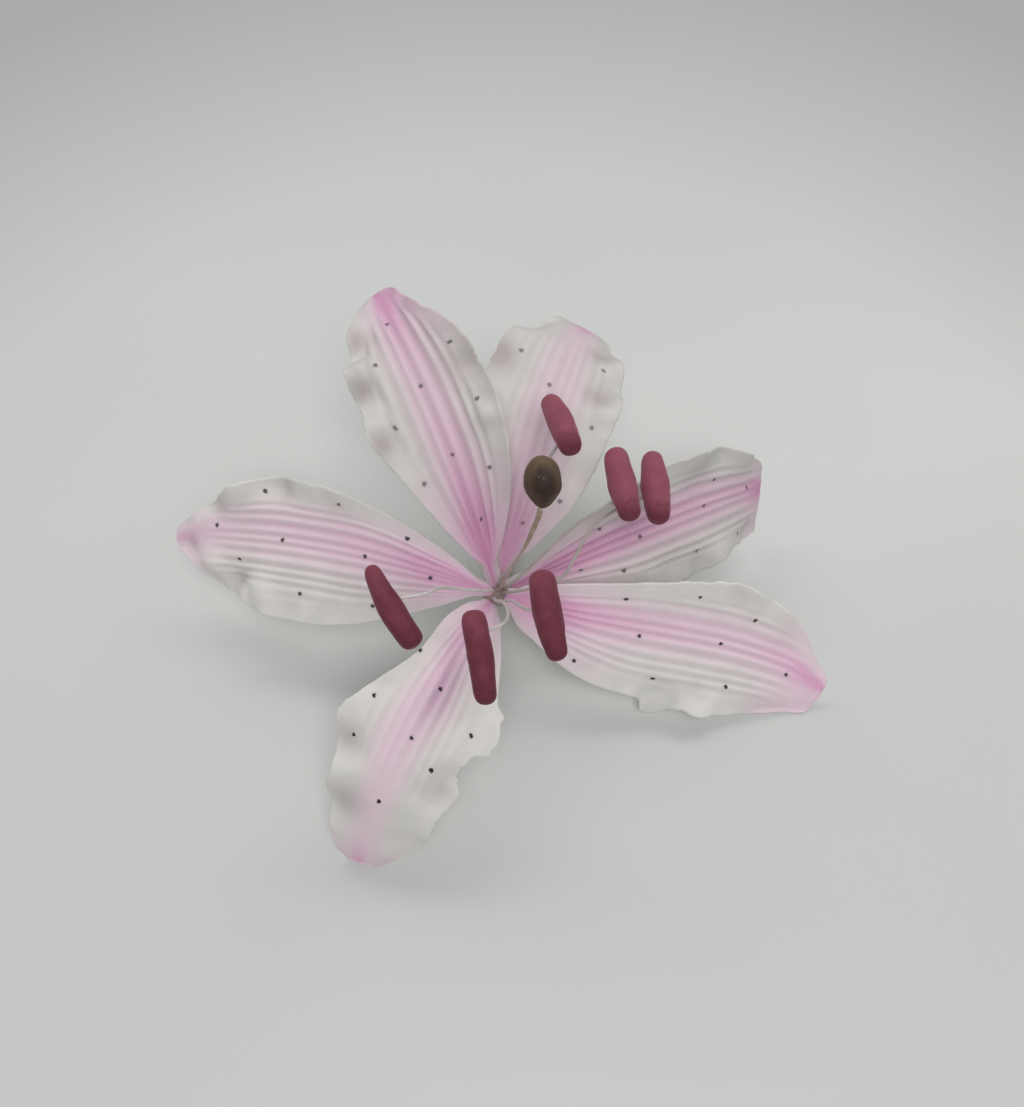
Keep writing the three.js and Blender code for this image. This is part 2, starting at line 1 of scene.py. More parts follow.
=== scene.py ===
"""A handmade rubrum lily bloom of modelling paste on covered wires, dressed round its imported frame.

Run as a script, it builds every piece and the studio. Lengths in the tables below are millimetres
in the bloom's own frame, with x to the right, y up the face, z out of the face and the hub at the
origin, and the meshes are in metres.
"""

import math

import bpy
import numpy as np
from mathutils import Matrix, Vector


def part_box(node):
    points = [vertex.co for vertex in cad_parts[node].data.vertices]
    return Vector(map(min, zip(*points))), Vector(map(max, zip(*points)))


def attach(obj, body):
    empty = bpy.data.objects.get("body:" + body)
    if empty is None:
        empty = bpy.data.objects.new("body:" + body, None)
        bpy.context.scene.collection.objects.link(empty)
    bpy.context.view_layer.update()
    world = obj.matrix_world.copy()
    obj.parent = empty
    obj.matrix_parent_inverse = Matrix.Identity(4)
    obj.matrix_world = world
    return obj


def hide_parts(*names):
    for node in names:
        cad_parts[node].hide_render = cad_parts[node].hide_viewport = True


bl_info = {
    "name": "Rubrum lily bloom",
    "version": (1, 0, 0),
    "blender": (4, 5, 0),
    "location": "3D View > Sidebar > Lily",
    "description": "Dresses a wired paste lily: petals, stamens, pistil, stem and a soft studio",
    "category": "Object",
}

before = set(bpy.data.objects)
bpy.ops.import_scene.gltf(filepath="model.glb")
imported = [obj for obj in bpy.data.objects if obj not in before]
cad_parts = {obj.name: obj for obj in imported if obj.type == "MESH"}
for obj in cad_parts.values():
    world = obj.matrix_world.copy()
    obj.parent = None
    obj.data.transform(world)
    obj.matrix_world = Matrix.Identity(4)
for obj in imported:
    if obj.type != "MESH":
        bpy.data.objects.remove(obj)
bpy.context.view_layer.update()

MM = 0.001
BLOOM_LEAN = math.radians(28)
HUB_HEIGHT = 21.0

# The stem behind the bloom, as in the solids.
STEM_LENGTH = 60.0
STEM_BEND_RADIUS = 15.0
WIRE_PITCH = 1.05
BUNDLE_TURN = 10.0
TAPE_OUTER_RADIUS = 3.0
TAPE_SIDES = 12
TAPE_START = 5.0
TAPE_END_SETBACK = 1.5
MOUND_RADIUS = 2.7
MOUND_TOP = 1.0
MOUND_WIDEST = 0.45
BUNDLE_PLACES = 90
WIRE_RADIUS = 0.4
SEEN_WIRE_RADIUS = 0.31
PISTIL_WIRE_RADIUS = 0.3

# The petals' cutter, veiner and paste.
PETAL_LENGTH = 67.0
PETAL_WIDTH = 28.0
PASTE_THICKNESS = 1.1
MARGIN_THICKNESS = 0.55
CLAW_HALF_WIDTH = 1.7
TIP_HALF_WIDTH = 0.9
WIDEST_SHIFT = 1.3
TIP_TAPER = 0.25
RIDGE_HEIGHT = 0.56
RIDGED_SHARE = 0.62
RIB_DEPTH = 1.55
RIB_HALF_WIDTH = 1.4
RIB_FADE = (0.15, 0.55)
WIRE_DEPTH_IN_PETAL = 0.8
SOCKET_SHARE = 4 / 22
MIDRIB_STEPS = 1408
PETAL_ROWS = 176
PETAL_COLUMNS = 97
TIP_ROWS = 12
TIP_ROWS_START = 0.96
TIP_ROUND_START = 0.984
EDGE_ROUND_START = 0.965
INNER_COLUMNS_END = 0.955
EDGE_COLUMNS = (0.97, 0.982, 0.991, 0.997, 1.0)

# How far the margins wander, as a share of the half width, and how high they crinkle.
MARGIN_UNEVENNESS = 0.007
CRINKLE_HEIGHT = 0.22

# The lower left petal's torn margin steps in, is rough and has a flap. The right one's folds out.
# Spans are shares of a petal's length: those over which a form comes, and over which it goes.
TORN_STEP = 2.1
TORN_SPAN = ((0.444, 0.456), (0.462, 0.54))
TORN_ROUGHNESS = 0.24
ROUGH_SPAN = ((0.38, 0.43), (0.56, 0.62))
FLAP_REACH = 1.2
FLAP_PLACE = 0.325
FLAP_HALF_LENGTH = 0.014
FOLD_REACH = 2.0
FOLD_SPAN = ((0.437, 0.447), (0.455, 0.58))

# The lower left petal's mauve patch: how strong it is, and its place and size along and across.
MAUVE_STRENGTH = 0.62
MAUVE_PLACE = (0.345, 0.06)
MAUVE_SIZE = (0.1, 0.22)

ANTHER_LENGTH = 16.2
ANTHER_WIDTH = 5.2
ANTHER_SQUARENESS = 12
FAR_ANTHER_PALENESS = 0.72
STIGMA_LENGTH = 9.2
STIGMA_WIDTH = 6.8
STIGMA_NARROWING = 0.28
STYLE_RADIUS = 0.62
STYLE_START_RADIUS = 0.33
STYLE_PLACES = 42

# The photograph's camera: its frame and focal length in pixels, and the hub's distance and pixel.
PHOTO_WIDTH = 1024
PHOTO_HEIGHT = 1107
FOCAL_PIXELS = 1060.0
CAMERA_ELEVATION = math.radians(62)
HUB_DISTANCE = 215.0
HUB_PIXEL = (497.0, 593.0)
SENSOR_MM = 36.0

# Seeds that keep the wires' paper uneven in a way of its own on each.
FILAMENT_SEED = 10
PISTIL_WIRE_SEED = 30

# The studio's two lights, in metres: one over the camera and a wide one behind the bloom.
CEILING_PLACE = (0.12, -0.6, 1.25)
CEILING_SIZE = (0.7, 0.7)
WINDOW_PLACE = (0.0, 0.9, 1.2)
WINDOW_SIZE = (2.6, 0.35)
LAMP_COLOUR = (1.0, 0.985, 0.965)
SKY_COLOUR = (0.98, 1.0, 1.0, 1)

# Painted shade: the table's colour grows darker between these distances from the bloom, in metres,
# where the light falls off.
PAINTED_FALLOFF_SPAN = (0.14, 0.25)


def each_with_its(label, names, traits):
    """A table for each name, with its own value of each trait."""
    return [
        {label: name, **{trait: values[index] for trait, values in traits.items()}}
        for index, name in enumerate(names)
    ]


PETAL_NAMES = (
    "petal_left", "petal_upper_left", "petal_upper_middle", "petal_right_upper", "petal_right",
    "petal_lower_left",
)

# Each trait of the petals, with its values in the order of their names.
PETAL_TRAITS = {
    # How it runs, with angles in degrees: its slot in the stem, its length as a share of the
    # cutter's, how far from the hub's axis and how high it starts, the heading and the rise that
    # it leaves at, how far its midrib turns (swerve, nearer the tip where late is high) and bows,
    # the pitch that it droops to at the tip, nearer the tip where bend is high, and its roll.
    "slot": (3, 2, 1, 0, 5, 4),
    "stretch": (1.02, 1, 1, 0.98, 1.04, 1.02),
    "reach": (3.4, 4, 5, 5, 3.6, 3.4),
    "lift": (-0.6, 1.4, -2.6, -1.8, 0.8, 0.6),
    "heading": (164.5, 105, 77, 24.8, -20, 236.5),
    "swerve": (17, 16, -15, -8, -18, 14),
    "late": (1.5, 1, 1.5, 1, 4.5, 1),
    "bow": (0, 0, 0, 0, 10, 0),
    "rise": (6, 30, 20, 8, 0, 58),
    "droop": (-28, -46, -84, -64, -20.7, -58),
    "bend": (1.2, 1.3, 1.8, 1.6, 1.5, 1.1),
    "roll": (-10, 0, 0, 24, 15, 0),
    # Its form. full shapes its outline towards the base and the tip, where less is fuller, and
    # curl is how far each half turns up by its margin: left base, left tip, right base, right tip.
    # claw is how much of its width it keeps at its base and slant how far its right corner runs
    # on. In millimetres, root is how far the claw's paste runs on along its wire towards the hub,
    # blunt the radius of its tip's left and right corner and spacing how far apart the veiner's
    # ridges lie, which fade out at ridge_end. ridges and ruffle say how far those and the margin's
    # ruffles stand out.
    "full": ((0.58, 0.8), (0.8, 0.62), (0.6, 0.5), (0.72, 0.66), (0.44, 0.6), (0.5, 0.66)),
    "curl": (
        (0, -8, 22, 16), (40, 25, 50, 36), (20, -8, 16, -8), (26, 24, 4, 0),
        (20, 6, -4, 12), (10, -12, 10, -10),
    ),
    "claw": (0.9, 0.4, 0.7, 0.8, 1.3, 1.2),
    "slant": (0, 0, 0, 0.35, 0.5, 0),
    "root": (2.6, 3.2, 3.4, 3.4, 1.8, 1.6),
    "blunt": ((3.4, 3.4), (4.2, 4.2), (4.6, 6.4), (5.6, 5.6), (2.6, 5.4), (4.4, 4.4)),
    "spacing": (2.1, 2.7, 2.3, 2.4, 2.4, 2.2),
    "ridge_end": (0.84, 0.88, 0.78, 0.9, 0.86, 0.62),
    "ridges": (0.85, 1.25, 0.55, 0.95, 0.9, 0.6),
    "ruffle": (1.25, 1.7, 1.3, 1.3, 1.1, 0.65),
    # Its pink dust: how much lies at the base, in the band along the middle and at the tip. The
    # band is wide and shifted to the left by shares of the half width, and so is the tip's dust,
    # whose reach is a share of the length.
    "base": (0.62, 1.0, 0.62, 0.6, 0.62, 0.45),
    "band": (0.42, 0.44, 0.36, 0.6, 0.44, 0.38),
    "wide": (0.42, 0.34, 0.4, 0.4, 0.36, 0.34),
    "shift": (-0.2, -0.04, -0.05, 0.08, 0.16, -0.12),
    "tip": (0.24, 0.62, 0.5, 0.45, 0.4, 0.34),
    "tip_wide": (2.2, 1.05, 0.5, 1.0, 2.2, 2.0),
    "tip_shift": (0.35, -0.6, -0.2, 0.0, 0.0, 0.0),
    "tip_reach": (0.14, 0.23, 0.12, 0.14, 0.2, 0.12),
    # How far painted light lightens or painted shade darkens its whole paste, how much painted shade
    # greys its hollows and its grooves, and how dark its dots.
    "painted_lightness": (1.0, 0.88, 0.88, 0.88, 1.05, 0.98),
    "painted_hollow_share": (1.0, 1.1, 2.2, 1.2, 0.9, 1.0),
    "painted_groove_share": (0.12, 0.3, 0.13, 0.16, 0.14, 0.1),
    "ink": (0.9, 0.66, 0.6, 0.75, 0.95, 1.0),
}

PETALS = each_with_its("name", PETAL_NAMES, PETAL_TRAITS)

# Waves of each petal's margins: [side, place along, height, half length, reach].
WAVES = {
    "petal_left": [
        [1, 0.3, 0, 0.35, 0.22], [1, 0.68, 1.4, 0.09, 0.04], [1, 0.85, -1.2, 0.06, 0.2],
        [1, 0.93, 1.1, 0.05, 0.2], [-1, 0.47, 1.2, 0.09, 0.04], [-1, 0.65, -1.2, 0.07, 0.04],
        [-1, 0.76, 1.4, 0.06, 0.03], [-1, 0.85, -1.0, 0.05, -0.04],
    ],
    "petal_upper_left": [
        [1, 0.3, 0, 0.16, -0.04], [1, 0.51, 1.4, 0.06, 0.03], [1, 0.6, -1.3, 0.045, -0.04],
        [1, 0.7, 1.6, 0.05, 0.0], [1, 0.775, -1.3, 0.04, -0.04], [1, 0.84, 1.2, 0.05, 0.0],
        [-1, 0.2, 0, 0.2, 0.14], [-1, 0.6, -1.6, 0.06, -0.04], [-1, 0.86, 0.5, 0.14, -0.3],
        [-1, 0.95, 0, 0.04, -0.2],
    ],
    "petal_upper_middle": [
        [1, 0.7, 1.2, 0.06, 0.0], [1, 0.82, -1.8, 0.05, -0.04], [1, 0.93, 0.4, 0.07, -0.3],
        [-1, 0.2, 0, 0.2, 0.16], [-1, 0.58, 1.1, 0.06, 0.03], [-1, 0.68, -1.2, 0.05, 0.0],
        [-1, 0.78, 1.2, 0.05, 0.03], [-1, 0.85, -0.6, 0.05, 0.0], [-1, 0.88, 0, 0.1, -0.07],
    ],
    "petal_right_upper": [
        [1, 0.35, 0, 0.3, -0.1], [1, 0.62, 1.2, 0.06, 0.03], [1, 0.71, -1.2, 0.05, 0.0],
        [1, 0.8, 1.2, 0.05, -0.05], [1, 0.93, 0, 0.08, -0.04], [-1, 0.4, 0, 0.35, 0.08],
        [-1, 0.6, -1.4, 0.05, 0.0], [-1, 0.72, 1.2, 0.06, -0.04], [-1, 0.88, -0.4, 0.06, 0.36],
        [-1, 0.97, 0, 0.06, 1.3], [-1, 0.925, 0, 0.01, -0.1],
    ],
    "petal_right": [
        [1, 0.33, 1, 0.2, -0.06], [1, 0.62, 1.3, 0.07, 0.08], [1, 0.93, 0, 0.07, -0.3],
        [-1, 0.2, 0, 0.2, 0.26], [-1, 0.48, -4.4, 0.05, 0.2], [-1, 0.62, 0.8, 0.05, 0.12],
        [-1, 0.72, -1, 0.05, 0.12], [-1, 0.83, -2, 0.07, 0.22], [-1, 0.885, -0.8, 0.05, 0.3],
        [-1, 0.98, 0.2, 0.05, 0.35],
    ],
    "petal_lower_left": [
        [1, 0.38, 1.2, 0.07, 0.16], [1, 0.53, -1.6, 0.045, -0.22], [1, 0.68, 1.1, 0.09, -0.2],
        [1, 0.92, 0, 0.07, -0.1], [-1, 0.26, 0, 0.13, -0.32], [-1, 0.5, 1.2, 0.06, 0.1],
        [-1, 0.58, -1.4, 0.05, -0.06], [-1, 0.66, 1.4, 0.06, -0.14], [-1, 0.78, -1.2, 0.06, -0.14],
        [-1, 0.88, 1, 0.06, -0.1],
    ],
}

STAMEN_PLACES = ("left", "front_centre", "front_right", "pair_left", "pair_right", "top")

# Each trait of the stamens, with its values in the order of their places. A stamen's wire runs
# from its slot in the stem through its route and joins its anther at a place along it. The anther
# lies round its centre at a heading and a pitch in degrees, with a bow, is thick as a share of the
# common width and tapers to its lower and to its upper end.
STAMEN_TRAITS = {
    "slot": (3, 4, 5, 1, 0, 2),
    "heading": (121, 99, 101, 99, 91, 109),
    "pitch": (-6, -4, -20, -35, -35, -45),
    "bow": (0.5, -0.3, 0.3, 0.2, 0, -0.2),
    "joins": (1.2, 3.5, 0.5, -3, -1.5, -3),
    "thick": (0.9, 0.9, 0.99, 1.05, 1.08, 0.98),
    "taper": ((0.06, 0.32), (0.14, 0.06), (0.26, 0.06), (0.26, 0.16), (0.26, 0.3), (0.14, 0.18)),
    "centre": (
        (-17.4, -1, 33), (-2.6, -9.6, 35), (9.5, -2.5, 34), (23.5, 20.8, 20), (29.8, 20.4, 17),
        (11.9, 31.8, 20),
    ),
    "route": (
        [(-1.3, 0.7, 8), (-5.7, 1.3, 18), (-9.8, 1.9, 26), (-12.1, 1, 31)],
        [(-0.2, -1.3, 4), (1.2, -1.4, 10), (2.1, -2.2, 18), (2.3, -3.2, 23), (1.5, -4.3, 29)],
        [(1, -1.5, 4), (2.8, -1.1, 10), (4.3, -1.5, 19), (5.8, -1.9, 27)],
        [(2.6, 1.7, 4), (6.6, 5.5, 9), (11, 9.8, 13.5), (16.8, 14.6, 17.8)],
        [
            (1.9, 0.2, 3.4), (6.6, 1.2, 9), (12.6, 3.5, 12), (15.4, 8.1, 14), (18.1, 12.8, 15),
            (24.6, 17.4, 13.6),
        ],
        [(0.9, 3, 3), (4.3, 7.4, 8), (6.9, 12.4, 12), (8.5, 18, 16), (9.7, 25, 19)],
    ),
}

STAMENS = each_with_its("place", STAMEN_PLACES, STAMEN_TRAITS)

FAR_STAMENS = ("pair_left", "pair_right", "top")

PISTIL = {
    "centre": (8.3, 20.2, 34), "heading": 92, "pitch": 18, "bow": 0, "joins": -2.2,
    "route": [(1.7, 2.8, 8), (3.6, 6.4, 16), (5.4, 9.2, 22), (7, 12.8, 28), (7.8, 14.6, 31)],
}

# Pixels of the photograph, in its 1024 x 1107 frame, where the ink dots of each petal lie.
INK_DOTS = {
    "petal_left": [
        (264, 491), (339, 504), (407, 539), (217, 525), (282, 540), (365, 557), (431, 578),
        (239, 559), (300, 593), (373, 606),
    ],
    "petal_upper_left": [
        (387, 325), (450, 341), (375, 365), (421, 386), (476, 398), (395, 428), (452, 454),
        (490, 467), (425, 485), (481, 519),
    ],
    "petal_upper_middle": [
        (521, 350), (549, 384), (496, 404), (603, 371), (592, 428), (560, 502), (522, 523),
    ],
    "petal_right_upper": [
        (599, 529), (641, 537), (703, 506), (714, 480), (747, 488), (738, 534), (697, 551),
        (580, 571), (624, 571),
    ],
    "petal_right": [
        (626, 599), (700, 597), (756, 620), (639, 636), (721, 644), (786, 674), (652, 678),
        (725, 687), (574, 661),
    ],
    "petal_lower_left": [
        (419, 651), (375, 694), (441, 690), (354, 735), (412, 737), (471, 736), (431, 770),
        (379, 802),
    ],
}

# Pixels of the two painted highlights on the stigma: pale dots where the lamps glint.
PAINTED_GLINT_PIXELS = [(539, 477), (544, 479)]

# Pixels where the maker's thumb left a hollow or, with a height above 0, a hump, each with its
# radius and height in millimetres.
THUMB_MARKS = {
    "petal_left": [
        (283, 490, 3.0, -1.3), (219, 506, 2.8, -1.1), (240, 580, 2.6, -1.8), (262, 590, 3.2, 1.2),
        (215, 564, 3.0, 1.5), (190, 546, 2.4, -1.3), (335, 505, 3.0, -0.5),
    ],
    "petal_upper_left": [
        (358, 340, 3.0, -1.7), (364, 389, 3.1, -2.0), (385, 444, 3.2, -1.9), (466, 366, 5.0, -1.7),
        (484, 414, 2.0, 1.2), (436, 318, 3.0, 0.8), (364, 364, 1.6, 0.5), (374, 410, 1.8, 0.5),
    ],
    "petal_upper_middle": [
        (500, 354, 3.6, -1.5), (604, 356, 2.8, -1.1), (600, 398, 3.0, -1.2), (540, 338, 3.0, 0.5),
        (612, 378, 2.0, 0.3), (602, 420, 2.2, 0.6),
    ],
    "petal_right_upper": [
        (672, 567, 3.4, -0.8), (697, 478, 4.0, -0.8), (745, 528, 2.6, -0.8), (708, 556, 2.8, 0.6),
    ],
    "petal_right": [
        (742, 596, 3.0, -0.8), (649, 702, 2.4, 0.9), (692, 692, 3.0, -0.7), (790, 640, 3.4, -0.6),
    ],
    "petal_lower_left": [
        (347, 742, 3.6, -1.5), (344, 803, 4.2, -1.6), (440, 794, 3.6, -1.4), (468, 722, 3.0, -0.7),
        (386, 678, 3.0, -0.6), (405, 838, 3.6, -0.6), (350, 770, 2.4, 0.6),
    ],
}


def mix(a, b, amount):
    return a + (b - a) * amount


def smooth(start, end, value):
    """Rises gently from 0 where the value is at the start to 1 at the end."""
    x = np.clip((value - start) / (end - start), 0, 1)
    return x * x * (3 - 2 * x)


def within(span, t):
    """1 inside a span, with a gentle rise at its start and a gentle fall at its end."""
    (nothing, full), (fading, gone) = span
    return smooth(nothing, full, t) * (1 - smooth(fading, gone, t))


def bump(offset, half_length):
    """A gentle hump, 1 at its middle and nearly 0 at twice its half length."""
    return np.exp(-((offset / half_length) ** 2))


def unit(vectors):
    return vectors / np.linalg.norm(vectors, axis=-1, keepdims=True)


def along_each(at, run, places):
    """The places at a distance along a line whose run is known at each of its places."""
    return np.stack([np.interp(at, run, places[:, axis]) for axis in range(3)], axis=-1)


def direction(heading, pitch):
    """The direction at a heading and a pitch in degrees."""
    heading, pitch = np.broadcast_arrays(np.radians(heading), np.radians(pitch))
    return np.stack(
        [np.cos(pitch) * np.cos(heading), np.cos(pitch) * np.sin(heading), np.sin(pitch)], axis=-1
    )


def turned_back(vectors):
    """Turns directions from the bloom's own frame by its lean."""
    x, y, z = np.moveaxis(np.asarray(vectors, float), -1, 0)
    c, s = math.cos(BLOOM_LEAN), math.sin(BLOOM_LEAN)
    return np.stack([x, y * c - z * s, y * s + z * c], axis=-1)


def in_bloom(points):
    """Places of the bloom's own frame, as it lies on the surface, with the hub over the origin."""
    return turned_back(points) + [0, 0, HUB_HEIGHT]


def stem_bend():
    """The straight run behind the hub, the angle that it drops at and the bend's length."""
    drop_angle = math.pi / 2 - BLOOM_LEAN
    axis_height = TAPE_OUTER_RADIUS * math.cos(math.pi / TAPE_SIDES)
    bend_drop = STEM_BEND_RADIUS * (1 - math.cos(drop_angle))
    straight = (HUB_HEIGHT - axis_height - bend_drop) / math.sin(drop_angle)
    return straight, drop_angle, STEM_BEND_RADIUS * drop_angle


def stem_section(distance):
    """The stem's centre at a distance from the hub, and the direction over it."""
    straight, drop_angle, bend_length = stem_bend()
    first = min(distance, straight)
    bent = min(max((distance - straight) / STEM_BEND_RADIUS, 0), drop_angle)
    level = max(distance - straight - bend_length, 0)
    pitch = drop_angle - bent
    back = first * math.cos(drop_angle) + level
    back += STEM_BEND_RADIUS * (math.sin(drop_angle) - math.sin(pitch))
    height = HUB_HEIGHT - first * math.sin(drop_angle)
    height -= STEM_BEND_RADIUS * (math.cos(pitch) - math.cos(drop_angle))
    return np.array([0, back, height]), np.array([0, math.sin(pitch), math.cos(pitch)])


def hub_offset():
    """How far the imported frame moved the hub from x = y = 0, in mm, by where the tape lies."""
    low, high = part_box("stem_tape")
    tape_end = stem_section(STEM_LENGTH - TAPE_END_SETBACK)[0]
    return np.array([(low[0] + high[0]) / 2 / MM, high[1] / MM - tape_end[1], 0])


HUB_OFFSET = hub_offset()


def in_frame(points):
    """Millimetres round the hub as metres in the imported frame."""
    return (np.asarray(points) + HUB_OFFSET) * MM


def camera_axes():
    """The camera's place in metres, with its right, up and viewing directions."""
    view = np.array([0, math.cos(CAMERA_ELEVATION), -math.sin(CAMERA_ELEVATION)])
    right = np.array([1.0, 0, 0])
    up = np.cross(right, view)
    off_right = (HUB_PIXEL[0] - PHOTO_WIDTH / 2) * HUB_DISTANCE / FOCAL_PIXELS
    off_up = (PHOTO_HEIGHT / 2 - HUB_PIXEL[1]) * HUB_DISTANCE / FOCAL_PIXELS
    hub = np.array([0, 0, HUB_HEIGHT]) + HUB_OFFSET
    place = hub - view * HUB_DISTANCE - right * off_right - up * off_up
    return place * MM, right, up, view


def to_pixels(places):
    """Where places in metres show in the photograph's frame."""
    camera, right, up, view = camera_axes()
    away = places - camera
    depth = away @ view
    across = PHOTO_WIDTH / 2 + FOCAL_PIXELS * (away @ right) / depth
    down = PHOTO_HEIGHT / 2 - FOCAL_PIXELS * (away @ up) / depth
    return np.stack([across, down], axis=-1)


# Petals


def midrib_direction(petal, t):
    """The midrib's direction at t, from 0 at the claw to 1 at the tip."""
    bow = petal["bow"] * np.sin(np.pi * t)
    heading = petal["heading"] + petal["swerve"] * t ** petal["late"] + bow
    pitch = mix(petal["rise"], petal["droop"], t ** petal["bend"])
    return direction(heading, pitch)


def length_of(petal):
    return PETAL_LENGTH * petal["stretch"]


def midrib(petal, t):
    """The midrib's places at t, with the directions along it, to its left and out of its face."""
    fine = np.linspace(0, 1, MIDRIB_STEPS + 1)
    middle = (fine[1:] + fine[:-1]) / 2
    step = length_of(petal) / MIDRIB_STEPS
    run = np.vstack([np.zeros(3), np.cumsum(midrib_direction(petal, middle) * step, axis=0)])
    start = direction(petal["heading"], 0.0) * petal["reach"] + [0, 0, petal["lift"]]
    place = start + along_each(t, fine, run)
    along = midrib_direction(petal, t)
    left = unit(np.cross([0, 0, 1], along))
    roll = math.radians(petal["roll"])
    left = left * math.cos(roll) + np.cross(along, left) * math.sin(roll)
    return place, along, left, np.cross(along, left)


def wander(t, seed, waves, shortest):
    """A smooth uneven line over t, about -1 to 1, that is the same in each run."""
    draw = np.random.default_rng(seed)
    total = np.zeros_like(t)
    for _ in range(waves):
        total += np.sin(2 * np.pi * (t * draw.uniform(2, 1 / shortest) + draw.uniform()))
    return total / math.sqrt(waves)


def half_width(petal, t, side):
    """Half the petal's width at t on one side, with that margin's own waves."""
    full_base, full_tip = petal["full"]
    round_off = np.maximum(np.sin(np.pi * t ** WIDEST_SHIFT), 0)
    blade = PETAL_WIDTH / 2 * round_off ** mix(full_base, full_tip, t) * (1 - TIP_TAPER * t ** 6)
    # Each margin has its own seeds, and so its own uneven line.
    seed = petal["slot"] * 7 + side + 1
    long_waves = wander(t, seed, waves=9, shortest=0.045)
    short_waves = wander(t, seed + 90, waves=12, shortest=0.016)
    reach = 1 + MARGIN_UNEVENNESS * (long_waves + short_waves) * smooth(0.2, 0.5, t)
    for wave_side, at, _, half_length, wave_reach in WAVES[petal["name"]]:
        if wave_side == side:
            reach = reach + wave_reach * bump(t - at, half_length)
    width = np.hypot(blade * reach, mix(CLAW_HALF_WIDTH, TIP_HALF_WIDTH, t))
    corner = petal["blunt"][0 if side == 1 else 1]
    blunt = blunt_tip(t, corner / length_of(petal)) * corner
    width = (width**4 + blunt**4) ** 0.25
    return width * tip_cap(t) * mix(petal["claw"], 1, smooth(0, 0.1, t))


def width_there(petal, t, s):
    """The half width on whichever side of the midrib s lies."""
    return np.where(s > 0, half_width(petal, t, 1), half_width(petal, t, -1))


def blunt_tip(t, share):
    """A round as long as the given share of the petal, from 0 at the tip to 1."""
    into = np.clip((t - 1 + share) / share, 0, 1)
    return np.sqrt(np.maximum(1 - into**2, 0)) * smooth(0.75, 0.92, t)


def torn_margin(t):
    """The lower left petal's margin is torn: a step inwards with a rough edge, and a small flap."""
    rough = TORN_ROUGHNESS * wander(t, seed=5, waves=10, shortest=0.012) * within(ROUGH_SPAN, t)
    flap = FLAP_REACH * bump(t - FLAP_PLACE, FLAP_HALF_LENGTH)
    return rough + flap - TORN_STEP * within(TORN_SPAN, t)


def folded_margin(t):
    """The right petal's lower margin folds out at once and then runs back to its line."""
    return FOLD_REACH * within(FOLD_SPAN, t)


def tears(petal, t, s):
    """How far out of its line the margin runs where it is torn or folded, in millimetres."""
    if petal["name"] == "petal_lower_left":
        return torn_margin(t) * smooth(0.55, 1, s)
    if petal["name"] == "petal_right":
        return folded_margin(t) * smooth(0.6, 1, -s)
    return 0 * t * s


def tip_cap(t):
    """Closes the tip in a small round."""
    from_tip = np.clip((t - TIP_ROUND_START) / (1 - TIP_ROUND_START), 0, 1)
    return np.sqrt(np.maximum(1 - from_tip**2, 0.004))


def cross_section(petal, t, s):
    """Each half's arc turns up by its curl towards the margin: how far across, and how high."""
    left = s > 0
    curl = petal["curl"]
    base, tip = np.where(left, curl[0], curl[2]), np.where(left, curl[1], curl[3])
    turned = np.radians(mix(base, tip, smooth(0.1, 0.9, t))) * (1 - 0.6 * smooth(0.8, 1, t))
    turned = np.where(np.abs(turned) < 1e-5, 1e-5, turned)
    width = width_there(petal, t, s)
    angle = turned * np.abs(s)
    radius = width / turned
    out = tears(petal, t, s)
    across = radius * np.sin(angle) + out * np.cos(angle)
    return np.sign(s) * across, radius * (1 - np.cos(angle)) + out * np.sin(angle)


def grooves(petal, t, s):
    """How deep in a veiner's groove a place lies, from -1 on a ridge to 1 in a groove."""
    spacing = petal["spacing"] * mix(0.3, 1, smooth(-0.05, 0.42, t))
    spacing = spacing * (1 - 0.2 * smooth(0.6, 1, t))
    end = petal["ridge_end"]
    lengthwise = within(((0.04, 0.2), (end - 0.12, end + 0.08)), t)
    crosswise = 1 - smooth(RIDGED_SHARE - 0.1, RIDGED_SHARE + 0.16, np.abs(s))
    away = s * width_there(petal, t, s) / spacing
    uneven = away + 0.12 * np.sin(1.9 * away + 2.3 * petal["slot"])
    strength = 0.88 + 0.16 * np.sin(1.3 * away + 1.7 * petal["slot"])
    return np.cos(2 * np.pi * uneven) * strength * lengthwise * crosswise


def ruffles(petal, t, s):
    """How high the margins' waves and crinkles stand at t along and s across."""
    height = 0 * t * s
    for side, at, wave_height, half_length, _ in WAVES[petal["name"]]:
        wave = wave_height * petal["ruffle"] * bump(t - at, half_length)
        height = height + wave * smooth(0.45, 1, side * s)
    for side in (-1, 1):
        crinkle = wander(t, seed=petal["slot"] * 11 + side + 40, waves=7, shortest=0.07)
        margin = smooth(0.2, 0.45, t) * smooth(0.6, 1, side * s)
        height = height + CRINKLE_HEIGHT * crinkle * margin
    return height


def shown_at(pixels, mark):
    """The index of the place whose pixel is nearest to a mark's."""
    return ((pixels - mark) ** 2).sum(axis=-1).argmin()


def thumb_marks(petal, middle):
    """How high the thumb's marks lie on the sheet's middle, whose places are in the bloom."""
    pixels = to_pixels(in_frame(in_bloom(middle)))
    height = np.zeros(middle.shape[:2])
    for across, down, radius, rise in THUMB_MARKS[petal["name"]]:
        centre = middle.reshape(-1, 3)[shown_at(pixels, [across, down])]
        away = np.linalg.norm(middle - centre, axis=-1)
        height += rise * bump(away, radius)
    return height


def petal_grid(petal):
    """Rows along a petal and columns across it, closer together at the tip and the margins."""
    root = petal["root"] / length_of(petal)
    body = np.linspace(-root, TIP_ROWS_START, PETAL_ROWS - TIP_ROWS)
    tip = mix(TIP_ROWS_START, 1, np.sin(np.linspace(0, np.pi / 2, TIP_ROWS + 1))[1:])
    edge = np.array(EDGE_COLUMNS)
    inner = np.linspace(-INNER_COLUMNS_END, INNER_COLUMNS_END, PETAL_COLUMNS - 2 * len(edge))
    rows = np.concatenate([body, tip])
    return rows[:, None], np.concatenate([-edge[::-1], inner, edge])[None, :]


